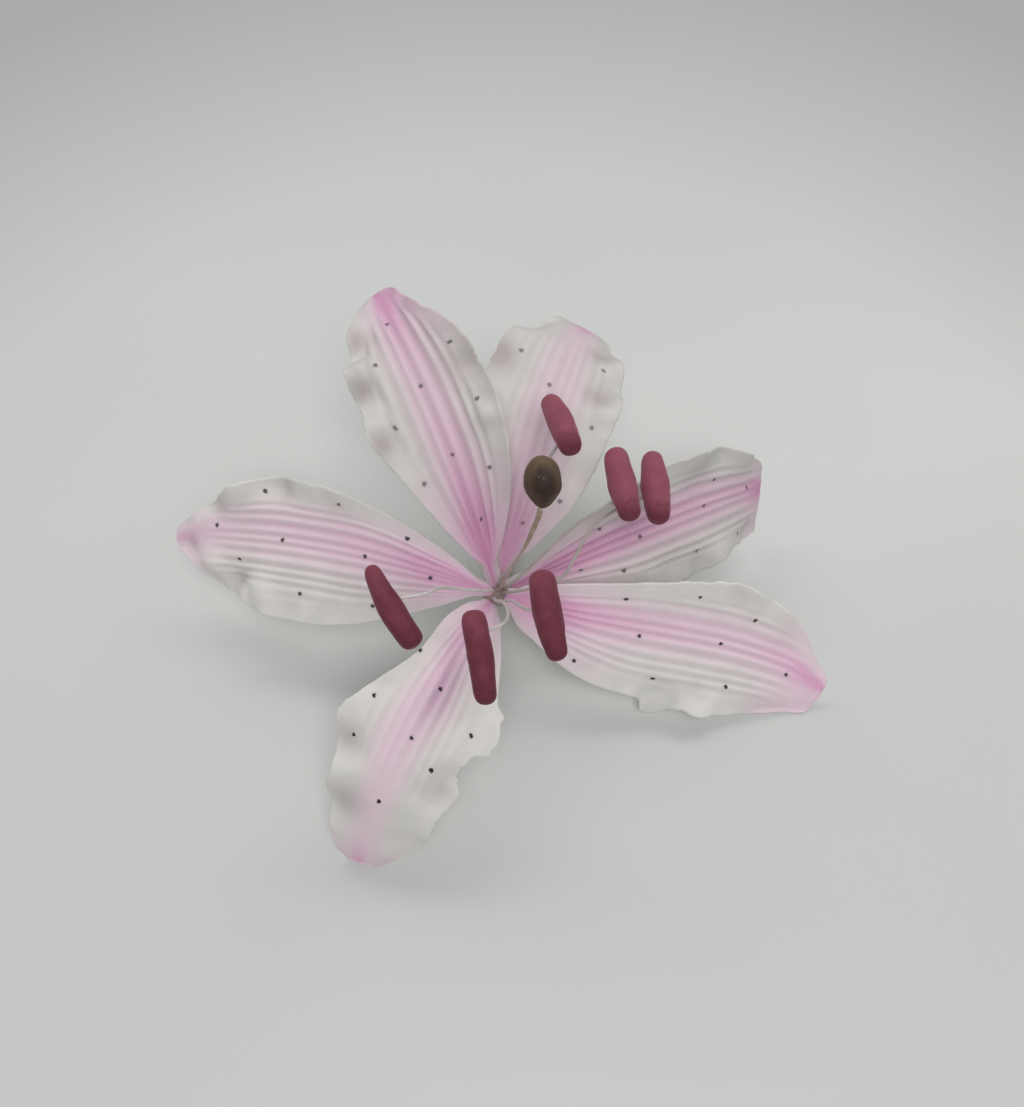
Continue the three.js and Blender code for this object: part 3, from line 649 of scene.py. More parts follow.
def paste_half_thickness(t, s):
    """Half the paste's thickness: thinned towards the margins, which are rounded."""
    thinned = mix(PASTE_THICKNESS / 2, MARGIN_THICKNESS / 2, smooth(0.5, 0.95, np.abs(s)))
    to_edge = np.clip((np.abs(s) - EDGE_ROUND_START) / (1 - EDGE_ROUND_START), 0, 1)
    return thinned * np.sqrt(np.maximum(1 - to_edge**2, 0.03)) * np.sqrt(tip_cap(t))


def petal_surfaces(petal):
    """A petal's upper and lower faces as grids of places in metres, and how high its marks lie."""
    t, s = petal_grid(petal)
    inwards = np.minimum(t, 0)
    t = np.maximum(t, 0)
    place, along, left, face = midrib(petal, t[:, 0])
    place = place + along * inwards * length_of(petal)
    across, bowl = cross_section(petal, t, s)
    # The claw's paste narrows where it runs on along its wire.
    drawn_in = 1 - 0.55 * smooth(0, 0.045, -inwards)
    across, bowl = across * drawn_in, bowl * drawn_in
    further = petal["slant"] * np.maximum(-across, 0) * smooth(0.84, 0.96, t)
    middle = place[:, None] + left[:, None] * across[..., None]
    middle = middle + along[:, None] * further[..., None]
    middle = middle + face[:, None] * (bowl + ruffles(petal, t, s))[..., None]
    marks = thumb_marks(petal, middle)
    middle = middle + face[:, None] * marks[..., None]
    normal = unit(np.cross(np.gradient(middle, axis=0), np.gradient(middle, axis=1)))
    rib = RIB_DEPTH * bump(across, RIB_HALF_WIDTH) * (1 - smooth(*RIB_FADE, t))
    half = paste_half_thickness(t, s)
    ridge = -0.5 * RIDGE_HEIGHT * petal["ridges"] * grooves(petal, t, s)
    top = in_bloom(middle + normal * (half + ridge)[..., None])
    bottom = in_bloom(middle + normal * (ridge - half - rib)[..., None])
    top[..., 2] = np.maximum(top[..., 2], 2 * half)
    bottom[..., 2] = np.maximum(bottom[..., 2], 0)
    return in_frame(top), in_frame(bottom), marks


def pink_dust(petal, t, s):
    """How much pink dust lies at each place: at the base, along the middle and at the tip."""
    shift = petal["shift"]
    across = np.abs(s - shift) / (petal["wide"] * (1.15 - 0.2 * t))
    band = np.exp(-(across**2.8)) * (1 - 0.3 * smooth(0.3, 0.9, t))
    streaks = 0.94 + 0.1 * grooves(petal, t, s)
    base = petal["base"] * bump(t, 0.25) * bump(s - 0.3 * shift, 1.15)
    tip = petal["tip"] * bump(1 - t, petal["tip_reach"])
    tip = tip * bump(s - petal["tip_shift"], petal["tip_wide"])
    return np.clip(petal["band"] * band * streaks + base * (1 - band * 0.4) + tip, 0, 1)


def mauve_patch(petal, t, s):
    """The mauve patch that shows on the lower left petal, and nothing on the others."""
    if petal["name"] != "petal_lower_left":
        return 0 * t * s
    streaks = 0.85 + 0.3 * grooves(petal, t, s)
    (along, across), (half_length, half_breadth) = MAUVE_PLACE, MAUVE_SIZE
    return MAUVE_STRENGTH * bump(t - along, half_length) * bump(s - across, half_breadth) * streaks


def sheet_between(name, top, bottom):
    """A closed sheet between two grids of places."""
    rows, columns = top.shape[:2]
    count = rows * columns
    at = np.arange(count).reshape(rows, columns)
    over = np.stack([at[:-1, :-1], at[1:, :-1], at[1:, 1:], at[:-1, 1:]], axis=-1).reshape(-1, 4)
    rim = np.concatenate([at[:-1, 0], at[-1, :-1], at[:0:-1, -1], at[0, :0:-1]])
    after = np.roll(rim, -1)
    side = np.stack([rim, rim + count, after + count, after], axis=-1)
    places = np.concatenate([top.reshape(-1, 3), bottom.reshape(-1, 3)])
    faces = np.concatenate([over, over[:, ::-1] + count, side])
    mesh = bpy.data.meshes.new(name)
    mesh.from_pydata(places.tolist(), [], faces.tolist())
    mesh.shade_smooth()
    return mesh


def add_values(mesh, name, values):
    """Keeps one number for each of the mesh's points."""
    attribute = mesh.attributes.new(name, "FLOAT", "POINT")
    attribute.data.foreach_set("value", np.asarray(values, np.float32).ravel())


def seen_places(places, marks):
    """Those of a face's places, in metres, that show at the marks' pixels."""
    pixels = to_pixels(places)
    return [places[shown_at(pixels, mark)] for mark in marks]


# Wires, anthers and the pistil's paste


def curve_through(controls, samples):
    """Even places along a smooth curve through its control points, as the solids' wires run."""
    controls = [np.asarray(point, float) for point in controls]
    first, last = 2 * controls[0] - controls[1], 2 * controls[-1] - controls[-2]
    points = [first, *controls, last]
    gaps = [math.sqrt(np.linalg.norm(after - at)) for at, after in zip(points, points[1:])]
    u = np.arange(0, 1, 0.02)[:, None]
    places = []
    for index in range(1, len(points) - 2):
        before, start, end, after = points[index - 1:index + 3]
        gap_before, gap, gap_after = gaps[index - 1:index + 2]
        span = end - start
        leaving = (start - before) / gap_before - (end - before) / (gap_before + gap) + span / gap
        arriving = span / gap - (after - start) / (gap + gap_after) + (after - end) / gap_after
        leaving, arriving = leaving * gap, arriving * gap
        bend, twist = 3 * span - 2 * leaving - arriving, leaving + arriving - 2 * span
        places.append(start + leaving * u + bend * u**2 + twist * u**3)
    places = np.vstack([*places, controls[-1]])
    run = np.concatenate([[0], np.cumsum(np.linalg.norm(np.diff(places, axis=0), axis=1))])
    return along_each(np.linspace(0, run[-1], samples), run, places)


def bundle_run(radius, angle, end=STEM_LENGTH):
    """A wire's places in the bundle, from its cut end up to the tape's start."""
    turn = math.radians(angle)
    places = []
    for distance in np.linspace(end, TAPE_START, BUNDLE_PLACES):
        centre, over = stem_section(distance)
        places.append(centre + [radius * math.cos(turn), 0, 0] + over * radius * math.sin(turn))
    return np.array(places)


def inner_slot(slot):
    """A stamen's wire in the ring of six round the pistil's wire."""
    return bundle_run(WIRE_PITCH, BUNDLE_TURN - 30 + 60 * slot)


def outer_slot(slot):
    """A petal's wire in the ring round those, in the gap between two of them."""
    return bundle_run(WIRE_PITCH * math.sqrt(3), BUNDLE_TURN + 60 * slot)


def petal_wire_run(petal):
    """A petal's wire leaves the tape, swings out to the claw and ends in the rib."""
    t = np.linspace(0, SOCKET_SHARE, 14)
    place, _, _, face = midrib(petal, t)
    rib = in_bloom(place - face * WIRE_DEPTH_IN_PETAL)
    bundle = outer_slot(petal["slot"])
    out_of_tape = turned_back([0, 0, 1])
    into_rib = unit(rib[1] - rib[0])
    span = np.linalg.norm(bundle[-1] - rib[0])
    leaving, arriving = bundle[-1] + out_of_tape * span * 0.45, rib[0] - into_rib * span * 0.4
    u = np.linspace(0, 1, 24)[1:-1, None]
    swing = (1 - u) ** 3 * bundle[-1] + 3 * (1 - u) ** 2 * u * leaving
    swing = swing + 3 * (1 - u) * u**2 * arriving + u**3 * rib[0]
    return np.vstack([bundle, swing, rib])


def free_wire_run(bundle, stalk, body_radius):
    """A run of wire from the bundle through its route into a rolled body of paste."""
    axis = turned_back(direction(stalk["heading"], stalk["pitch"]))
    on_axis = in_bloom(stalk["centre"]) + axis * stalk["joins"]
    route = in_bloom(stalk["route"])
    outwards = unit(route[-1] - on_axis)
    leaving = bundle[-1] + turned_back([0, 0, 1]) * TAPE_START / 2
    controls = [bundle[-1], leaving, *route, on_axis + outwards * body_radius]
    end = on_axis + outwards * body_radius * 0.3
    return np.vstack([bundle, curve_through(controls, 120)[1:], end])


def paste_axis(stalk, length, u):
    """The bowed axis of a rolled body of paste at u, from -1 to 1 along it."""
    axis = direction(stalk["heading"], stalk["pitch"])
    sideways = unit(np.cross([0, 0, 1], axis))
    u = np.asarray(u)[:, None]
    return in_bloom(stalk["centre"] + axis * u * length / 2 + sideways * stalk["bow"] * (1 - u**2))


def rail(name, places, girth):
    """A line of points for a tree to follow, which carries its girth at each."""
    mesh = bpy.data.meshes.new(name)
    edges = [(index, index + 1) for index in range(len(places) - 1)]
    mesh.from_pydata(in_frame(places).tolist(), edges, [])
    add_values(mesh, "girth", np.broadcast_to(girth, len(places)) * MM)
    return mesh


# Trees


class Tree:
    """A node tree in the making: adds nodes and joins them in one step."""

    def __init__(self, tree):
        self.tree = tree

    def add(self, kind, inputs=None, **settings):
        """Adds a node. An input is a number, a colour or the output of another node."""
        node = self.tree.nodes.new(kind)
        for key, value in settings.items():
            setattr(node, key, value)
        for key, value in (inputs or {}).items():
            if value is not None:
                self.put(node.inputs[key], value)
        return node

    def put(self, socket, value):
        if isinstance(value, bpy.types.NodeSocket):
            self.tree.links.new(value, socket)
        else:
            socket.default_value = value

    def math(self, operation, a, b=None, clamp=False):
        node = self.add("ShaderNodeMath", {0: a, 1: b}, operation=operation, use_clamp=clamp)
        return node.outputs[0]

    def plus(self, a, b, clamp=False):
        return self.math("ADD", a, b, clamp)

    def minus(self, a, b):
        return self.math("SUBTRACT", a, b)

    def times(self, a, b, clamp=False):
        return self.math("MULTIPLY", a, b, clamp)

    def vector(self, operation, a, b=None, scale=None):
        node = self.add("ShaderNodeVectorMath", {0: a, 1: b, "Scale": scale}, operation=operation)
        is_number = operation in ("DISTANCE", "LENGTH", "DOT_PRODUCT")
        return node.outputs["Value" if is_number else "Vector"]

    def noise(self, scale, detail=2.0, roughness=0.5, at=None, output="Fac"):
        """Noise at the tree's own place or at another, with so many clouds to the metre."""
        return self.add("ShaderNodeTexNoise", {
            "Vector": self.place if at is None else at,
            "Scale": scale, "Detail": detail, "Roughness": roughness,
        }).outputs[output]

    def range(self, value, from_low, from_high, to_low=0.0, to_high=1.0, smoothed=False):
        return self.add("ShaderNodeMapRange", {
            "Value": value, "From Min": from_low, "From Max": from_high,
            "To Min": to_low, "To Max": to_high,
        }, interpolation_type="SMOOTHSTEP" if smoothed else "LINEAR").outputs["Result"]

    def spread(self, noise, low=0.0, high=1.0):
        """Spreads the values that a noise mostly has, 0.3 to 0.7, from low to high."""
        return self.range(noise, 0.3, 0.7, low, high)


class Finish(Tree):
    """A material in the making: coats of colour, one over the other, and a shader."""

    def __init__(self, name, colour):
        self.material = bpy.data.materials.new(name)
        self.material.use_nodes = True
        super().__init__(self.material.node_tree)
        self.tree.nodes.clear()
        self.shader = self.add("ShaderNodeBsdfPrincipled")
        end = self.add("ShaderNodeOutputMaterial")
        self.tree.links.new(self.shader.outputs[0], end.inputs["Surface"])
        self.place = self.add("ShaderNodeTexCoord").outputs["Object"]
        self.colour = colour

    def mixed(self, a, b, amount):
        return self.add("ShaderNodeMix", {0: amount, 6: a, 7: b}, data_type="RGBA").outputs[2]

    def coat(self, colour, amount):
        """Lays a colour over what is there, by an amount from 0 to 1."""
        self.colour = self.mixed(self.colour, colour, amount)

    def value(self, name):
        """A number that the piece's mesh carries at each of its points."""
        return self.add("ShaderNodeAttribute", attribute_name=name).outputs["Fac"]

    def shade(self, roughness, bumps, **constants):
        """Sets the shader: bumps are (height, strength, depth in mm), one over the other."""
        self.put(self.shader.inputs["Base Color"], self.colour)
        self.put(self.shader.inputs["Roughness"], roughness)
        for key, value in constants.items():
            self.shader.inputs[key.replace("_", " ")].default_value = value
        normal = None
        for height, strength, depth in bumps:
            normal = self.add("ShaderNodeBump", {
                "Height": height, "Strength": strength, "Distance": depth * MM, "Normal": normal,
            }).outputs["Normal"]
        self.put(self.shader.inputs["Normal"], normal)
        return self.material


class Shape(Tree):
    """A tree of geometry nodes in the making, which sweeps a round along its given rail."""

    def __init__(self, name, inputs):
        super().__init__(bpy.data.node_groups.new(name, "GeometryNodeTree"))
        face = self.tree.interface
        for label, kind, value in [
            ("Geometry", "Geometry", None), *inputs, ("Sides", "Int", 16), ("Seed", "Float", 0.0),
            ("Material", "Material", None),
        ]:
            socket = face.new_socket(label, in_out="INPUT", socket_type=f"NodeSocket{kind}")
            if value is not None:
                socket.default_value = value
        face.new_socket("Geometry", in_out="OUTPUT", socket_type="NodeSocketGeometry")
        self.given = self.add("NodeGroupInput").outputs
        self.place = self.made("InputPosition")

    def made(self, kind, inputs=None, output=0, **settings):
        """Adds a geometry node and gives one of its outputs."""
        return self.add("GeometryNode" + kind, inputs, **settings).outputs[output]

    def captured(self, geometry, name, value):
        """Keeps a value on each point: gives the geometry and the kept value."""
        node = self.add("GeometryNodeCaptureAttribute", {"Geometry": geometry}, domain="POINT")
        node.capture_items.new("FLOAT", name)
        self.put(node.inputs[name], value)
        return node.outputs["Geometry"], node.outputs[name]

    def line_with_girth(self):
        """The given rail as a curve whose radius is the girth that it carries."""
        curve = self.made("MeshToCurve", {"Mesh": self.given["Geometry"]})
        girth = self.made("InputNamedAttribute", {"Name": "girth"}, "Attribute", data_type="FLOAT")
        return self.made("SetCurveRadius", {"Curve": curve, "Radius": girth})

    def circle(self):
        return self.made("CurvePrimitiveCircle", {"Resolution": self.given["Sides"], "Radius": 1.0})

    def swept(self, curve, profile):
        """A profile of radius 1 swept along a curve and sized by the curve's own radius."""
        return self.made("CurveToMesh", {
            "Curve": curve, "Profile Curve": profile, "Fill Caps": True,
            "Scale": self.made("InputRadius"),
        })

    def random(self, scale, detail=2.0):
        """Noise from -0.5 to 0.5, which the given seed moves to another place."""
        seed = self.add("ShaderNodeCombineXYZ", {0: self.given["Seed"]}).outputs[0]
        moved = self.vector("ADD", self.place, seed)
        return self.minus(self.noise(scale, detail, at=moved), 0.5)

    def pushed_out(self, geometry, height):
        """Moves the surface along its normals by a height."""
        offset = self.vector("SCALE", self.made("InputNormal"), scale=height)
        return self.made("SetPosition", {"Geometry": geometry, "Offset": offset})

    def close(self, geometry, name, value):
        """Ends the tree: a named value for the material, smooth faces and the material itself."""
        named = self.made("StoreNamedAttribute", {
            "Geometry": geometry, "Name": name, "Value": value,
        }, data_type="FLOAT", domain="POINT")
        smooth_faces = self.made("SetShadeSmooth", {"Geometry": named})
        real = self.made("RealizeInstances", {0: smooth_faces})
        coated = self.made("SetMaterial", {"Geometry": real, "Material": self.given["Material"]})
        self.tree.links.new(coated, self.add("NodeGroupOutput").inputs[0])
        return self.tree


def wrapped_run_tree():
    """Paper wound round a run: a strip's laps climb along it, each over the one before."""
    shape = Shape("Wrapped run", [
        ("Lap Spacing", "Float", 4.2 * MM), ("Lap Height", "Float", 0.05 * MM),
        ("Unevenness", "Float", 0.03 * MM), ("Step", "Float", 0.25 * MM),
    ])
    given = shape.given
    along = shape.made("SplineParameter", output="Length")
    turn = shape.made("SplineParameter", output="Factor")
    even = shape.made(
        "ResampleCurve", {"Curve": shape.line_with_girth(), "Length": given["Step"]}, mode="LENGTH"
    )
    run, along = shape.captured(even, "Along", along)
    ring, turn = shape.captured(shape.circle(), "Turn", turn)
    laps = shape.math("DIVIDE", along, given["Lap Spacing"])
    lap = shape.math("FRACT", shape.plus(laps, turn))
    steps = shape.times(shape.minus(1.0, lap), given["Lap Height"])
    rough = shape.times(shape.random(900.0), given["Unevenness"])
    wound = shape.pushed_out(shape.swept(run, ring), shape.plus(steps, rough))
    return shape.close(wound, "lap", lap)


def rolled_paste_tree():
    """Paste rolled by hand round a rail: the rail carries its girth, and dents lie on it."""
    shape = Shape("Rolled paste", [
        ("Flatness", "Float", 0.0), ("Dent Depth", "Float", 0.25 * MM),
        ("Dent Size", "Float", 3.0 * MM),
    ])
    given = shape.given
    factor = shape.made("SplineParameter", output="Factor")
    thick, run = shape.captured(shape.line_with_girth(), "Run", factor)
    narrowed = shape.minus(1.0, given["Flatness"])
    squeeze = shape.add("ShaderNodeCombineXYZ", {0: 1.0, 1: narrowed, 2: 1.0}).outputs[0]
    flat = shape.made("Transform", {"Geometry": shape.circle(), "Scale": squeeze})
    per_metre = shape.math("DIVIDE", 1.0, given["Dent Size"])
    dents = shape.random(per_metre, 1.0)
    fine = shape.random(shape.times(per_metre, 4.0), 3.0)
    depth = shape.times(shape.plus(dents, shape.times(fine, 0.18)), given["Dent Depth"])
    dented = shape.pushed_out(shape.swept(thick, flat), depth)
    closed = shape.made("MergeByDistance", {"Geometry": dented, "Distance": 0.01 * MM})
    return shape.close(closed, "run", run)


def grown(node, places, girth, tree, **inputs):
    """The piece that a tree makes along its places, as a plain mesh at the origin."""
    name = "lily_" + node
    seedling = placed(name + "_rail", rail(node, places, girth))
    modifier = seedling.modifiers.new("shape", "NODES")
    modifier.node_group = tree
    sockets = {
        item.name: item.identifier
        for item in tree.interface.items_tree
        if item.item_type == "SOCKET" and item.in_out == "INPUT"
    }
    for label, value in inputs.items():
        modifier[sockets[label.replace("_", " ")]] = value
    seedling.update_tag()
    bpy.context.view_layer.update()
    seen = seedling.evaluated_get(bpy.context.evaluated_depsgraph_get())
    made = bpy.data.meshes.new_from_object(seen)
    bpy.data.objects.remove(seedling)
    if not made.polygons:
        raise RuntimeError(f"{name} came out empty")
    return placed(name, made)


def placed(name, data):
    """Puts a mesh, a lamp or a camera into the scene, at the origin."""
    data.name = name
    piece = bpy.data.objects.new(name, data)
    bpy.context.collection.objects.link(piece)
    return piece


def stands_for(piece, node):
    """The piece rides on the bloom and stands for its node of the frame."""
    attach(piece, "root")
    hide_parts(node)


# Materials


MAUVE_STAIN = (0.36, 0.2, 0.32, 1)
PAINTED_HOLLOW_SHADE = (0.4, 0.335, 0.345, 1)
PAINTED_GROOVE_SHADE = (0.36, 0.27, 0.29, 1)
HALO_GREY = (0.3, 0.27, 0.29, 1)
PAINTED_CREASE_SHADE = (0.05, 0.01, 0.016, 1)
PAINTED_LOWER_END_SHADE = (0.09, 0.014, 0.028, 1)
ANTHER_PORES = (0.05, 0.012, 0.02, 1)
ANTHER_POWDER = (0.9, 0.5, 0.6, 1)
STIGMA_GRAIN = (0.24, 0.18, 0.11, 1)
PAINTED_RIM_LIGHT = (0.23, 0.17, 0.1, 1)
PAINTED_MIDDLE_SHADE = (0.022, 0.012, 0.01, 1)
PAINTED_GLINT_COLOUR = (0.4, 0.36, 0.3, 1)

# The way that the middle of the stigma's face looks, in the bloom's own frame: painted shade falls
# there, and painted light on the rim.
STIGMA_FACE = (0.05, -0.3, 0.95)


def toned(colour, share):
    """A colour made lighter or darker."""
    return (*(share * part for part in colour[:3]), 1.0)


def petal_finish(petal, dots, choices):
    """White paste with fine grain, brushed with pink dust and dotted with ink; painted shade greys
    its hollows and grooves, and painted light lightens or painted shade darkens the whole petal.
    """
    # Painted light and shade: the petal's paste and dust are made lighter or darker as a whole, for
    # how the light falls on the petal.
    painted_lightness = petal["painted_lightness"]
    finish = Finish(petal["name"] + "_paste", toned(choices.paste_shade, painted_lightness))
    fine = finish.noise(5200.0, 3.0)
    mottle = finish.noise(260.0, 4.0)
    speck = finish.noise(1900.0)
    dust = finish.value("dust")
    finish.coat(toned(choices.paste_colour, painted_lightness), finish.range(mottle, 0.35, 0.65))
    flecked = finish.plus(dust, finish.times(finish.minus(speck, 0.5), finish.times(dust, 0.5)))
    clouded = finish.plus(flecked, finish.times(finish.minus(mottle, 0.5), 0.12), clamp=True)
    powder = finish.times(clouded, finish.range(dust, 0.0, 0.1))
    pale, deep = toned(choices.dust_pale, painted_lightness), toned(choices.dust_deep, painted_lightness)
    pink = finish.mixed(pale, deep, finish.range(powder, 0.3, 1.0))
    finish.coat(pink, finish.range(powder, 0.0, 0.62, 0.0, 0.94))
    finish.coat(MAUVE_STAIN, finish.value("stain"))
    # Painted shade: the thumb's hollows are greyed in the paste's colour.
    finish.coat(PAINTED_HOLLOW_SHADE, finish.range(finish.value("hollow"), 0.1, 2.7, 0.0, 0.66))
    # Painted shade: the veiner's grooves are greyed in the paste's colour.
    finish.coat(PAINTED_GROOVE_SHADE, finish.value("groove"))
    nearest = from_nearest_dot(finish, dots)
    radius = choices.dot_width / 2
    finish.coat(HALO_GREY, finish.range(nearest, radius, radius * 2.0, 0.22, 0.0, smoothed=True))
    ink = finish.range(nearest, radius * 0.8, radius * 1.12, petal["ink"], 0.0, smoothed=True)
    finish.coat(choices.ink_colour, ink)
    return finish.shade(
        finish.minus(finish.spread(fine, 0.58, 0.74), finish.times(ink, 0.12)),
        [(mottle, 0.35, 0.12), (speck, 0.3, 0.04), (fine, 0.35, 0.02)], Specular_IOR_Level=0.35,
        Subsurface_Weight=0.12, Subsurface_Radius=(1.0, 0.75, 0.65), Subsurface_Scale=1.2 * MM,
    )


def from_nearest_dot(finish, dots):
    """How far the nearest dot's middle is, with a ragged edge."""
    wobble = finish.noise(1100.0, 1.0, output="Color")
    centred = finish.vector("SUBTRACT", wobble, (0.5, 0.5, 0.5))
    ragged = finish.vector("ADD", finish.place, finish.vector("SCALE", centred, scale=0.75 * MM))
    nearest, *others = [finish.vector("DISTANCE", ragged, tuple(dot)) for dot in dots]
    for other in others:
        nearest = finish.math("MINIMUM", nearest, other)
    return nearest


def lap_edges(finish, strength):
    """Where the paper's one lap ends and the next begins."""
    lap = finish.value("lap")
    edges = finish.plus(finish.range(lap, 0.0, 0.07, 1.0, 0.0), finish.range(lap, 0.95, 1.0))
    return finish.times(edges, strength, clamp=True)


def wire_paper_finish(name, colour, edge_colour):
    """Paper wound on wire: its fibres, and the shade under each lap's edge."""
    finish = Finish(name, colour)
    fibre = finish.noise(4200.0, 4.0, 0.7)
    finish.coat(toned(colour, 0.86), finish.range(finish.noise(300.0), 0.35, 0.65))
    finish.coat(edge_colour, finish.range(fibre, 0.45, 0.75, 0.0, 0.35))
    finish.coat(edge_colour, lap_edges(finish, 0.6))
    rough = finish.spread(fibre, 0.62, 0.85)
    return finish.shade(rough, [(fibre, 0.4, 0.03)], Specular_IOR_Level=0.3)


def stem_tape_finish(choices):
    """Crepe paper tape, brownish pink from the dust where it closes in at the hub."""
    finish = Finish("stem_tape_paper", choices.tape_colour)
    crepe = finish.noise(2600.0, 4.0, 0.7)
    finish.coat(choices.tape_edge, finish.range(crepe, 0.45, 0.75, 0.0, 0.35))
    from_hub = finish.vector("DISTANCE", finish.place, tuple(in_frame([0, 0, HUB_HEIGHT])))
    near_hub = finish.range(from_hub, 6.0 * MM, 3.6 * MM, 0.0, 0.9, smoothed=True)
    patches = finish.range(finish.noise(420.0), 0.35, 0.62)
    finish.coat(finish.mixed(choices.hub_colour, finish.colour, patches), near_hub)
    finish.coat(choices.tape_edge, lap_edges(finish, 0.5))
    rough = finish.spread(crepe, 0.6, 0.85)
    return finish.shade(rough, [(crepe, 0.5, 0.05)], Specular_IOR_Level=0.3)


def anther_finish(name, colour, pale_and_lit_colour, paleness):
    """Wine-red paste with a dry, powdery grain; painted light makes its upper end paler, and painted
    shade darkens its lower end and a crease across it.
    """
    finish = Finish(name, colour)
    run = finish.value("run")
    grain = finish.noise(3600.0, 4.0, 0.65)
    cloud = finish.noise(420.0, 3.0)
    # Painted light: the upper end is paler and the lower end less pale, as the light falls; clouds
    # and grain add the powder's own paleness.
    upper, lower = finish.range(run, 0.62, 1.0, 0.0, 0.4), finish.range(run, 0.26, 0.0, 0.0, 0.4)
    powder = finish.plus(finish.minus(upper, lower), finish.range(cloud, 0.4, 0.75, 0.0, 0.22))
    powder = finish.plus(powder, finish.range(grain, 0.5, 0.75, 0.0, 0.42))
    finish.coat(pale_and_lit_colour, finish.plus(powder, paleness, clamp=True))
    # Painted shade: a dark line across the anther where a crease would be shaded.
    from_crease = finish.math("ABSOLUTE", finish.plus(run, finish.spread(cloud, -0.24, -0.1)))
    crease = finish.range(from_crease, 0.0, 0.014, 0.75, 0.0)
    finish.coat(PAINTED_CREASE_SHADE, finish.times(crease, finish.range(cloud, 0.42, 0.6)))
    # Painted shade on the lower end of the far anthers.
    painted_lower_shade = finish.range(run, 0.26, 0.04, 0.0, 0.6 * paleness, smoothed=True)
    finish.coat(PAINTED_LOWER_END_SHADE, painted_lower_shade)
    finish.coat(ANTHER_PORES, finish.range(grain, 0.36, 0.24, 0.0, 0.5))
    return finish.shade(
        finish.spread(grain, 0.72, 0.9), [(cloud, 0.4, 0.15), (grain, 0.6, 0.06)],
        Specular_IOR_Level=0.25, Sheen_Weight=0.3, Sheen_Roughness=0.4, Sheen_Tint=ANTHER_POWDER,
    )


def stigma_finish(colour, lit_top_colour, painted_glints):
    """Olive-brown paste: painted light on its top and its rim, painted shade in the middle of its
    face, and two painted highlights.
    """
    finish = Finish("stigma_paste", colour)
    grain = finish.noise(3000.0, 4.0, 0.6)
    cloud = finish.noise(380.0)
    # Painted light: the top is lighter, with clouds of its own.
    top = finish.range(finish.value("run"), 0.55, 1.0, 0.0, 0.9)
    finish.coat(lit_top_colour, finish.plus(top, finish.range(cloud, 0.4, 0.7, 0.0, 0.35), clamp=True))
    finish.coat(STIGMA_GRAIN, finish.range(grain, 0.55, 0.8, 0.0, 0.3))
    normal = finish.add("ShaderNodeNewGeometry").outputs["Normal"]
    # Painted light on the rim and painted shade in the middle of the face, by which way it faces.
    facing = finish.vector("DOT_PRODUCT", normal, tuple(turned_back(unit(STIGMA_FACE))))
    finish.coat(PAINTED_RIM_LIGHT, finish.range(facing, 0.34, 0.08, 0.0, 0.5))
    uneven = finish.plus(facing, finish.spread(cloud, -0.09, 0.09))
    finish.coat(PAINTED_MIDDLE_SHADE, finish.range(uneven, 0.66, 0.98, 0.0, 0.85, smoothed=True))
    # Painted highlights: two pale dots where the lamps glint.
    for speck in painted_glints:
        away = finish.vector("DISTANCE", finish.place, tuple(speck))
        finish.coat(PAINTED_GLINT_COLOUR, finish.range(away, 0.14 * MM, 0.05 * MM, 0.0, 0.7))
    return finish.shade(
        finish.spread(grain, 0.55, 0.7), [(cloud, 0.4, 0.2), (grain, 0.4, 0.05)],
        Specular_IOR_Level=0.3,
    )


def style_finish(colour):
    """Tan paste rolled thin round the pistil's wire."""
    finish = Finish("style_paste", colour)
    grain = finish.noise(2600.0, 4.0, 0.6)
    cloud = finish.noise(500.0)
    finish.coat(toned(colour, 0.6), finish.spread(cloud))
    return finish.shade(
        finish.spread(grain, 0.5, 0.7), [(cloud, 0.4, 0.15), (grain, 0.4, 0.04)],
        Specular_IOR_Level=0.4,
    )


def floor_finish(colour):
    """The pale table: faintly glossy, a little cloudy, with painted shade that darkens it far from
    the bloom.
    """
    finish = Finish("floor", colour)
    cloud = finish.noise(7.0, 4.0)
    grain = finish.noise(900.0, 3.0)
    finish.coat(toned(colour, 0.965), finish.spread(cloud))
    away = finish.vector("LENGTH", finish.vector("MULTIPLY", finish.place, (1.0, 1.0, 0.0)))
    # Painted shade where the light falls off far from the bloom.
    finish.coat(toned(colour, 0.3), finish.range(away, *PAINTED_FALLOFF_SPAN, 0.0, 0.4))
    rough = finish.spread(cloud, 0.3, 0.42)
    return finish.shade(rough, [(grain, 0.05, 0.05)], Specular_IOR_Level=0.4)


# Sizes and colours that a user may change


def colour_choice(name, description, default):
    return bpy.props.FloatVectorProperty(
        name=name, description=description, default=(*default, 1.0), size=4, min=0, max=1,
        subtype="COLOR",
    )


def number_choice(name, description, default, **kind):
    return bpy.props.FloatProperty(
        name=name, description=description, default=default, min=0, precision=6, **kind
    )


def length_choice(name, description, millimetres):
    return number_choice(name, description, millimetres * MM, unit="LENGTH")


class LilyPetalChoices(bpy.types.PropertyGroup):
    """The petals' paste, dust and ink."""

    paste_colour: colour_choice("Paste", "Colour of the white paste", (0.76, 0.742, 0.722))
    paste_shade: colour_choice("Paste shade", "Its slightly greyer patches", (0.71, 0.695, 0.672))
    dust_pale: colour_choice("Pale dust", "Pink dust where it lies thinly", (0.9, 0.56, 0.77))
    dust_deep: colour_choice("Deep dust", "Pink dust where it lies thickly", (0.68, 0.27, 0.49))
    ink_colour: colour_choice("Ink", "Colour of the dots", (0.02, 0.017, 0.022))
    dot_width: length_choice("Dot width", "Width of an ink dot", 0.88)


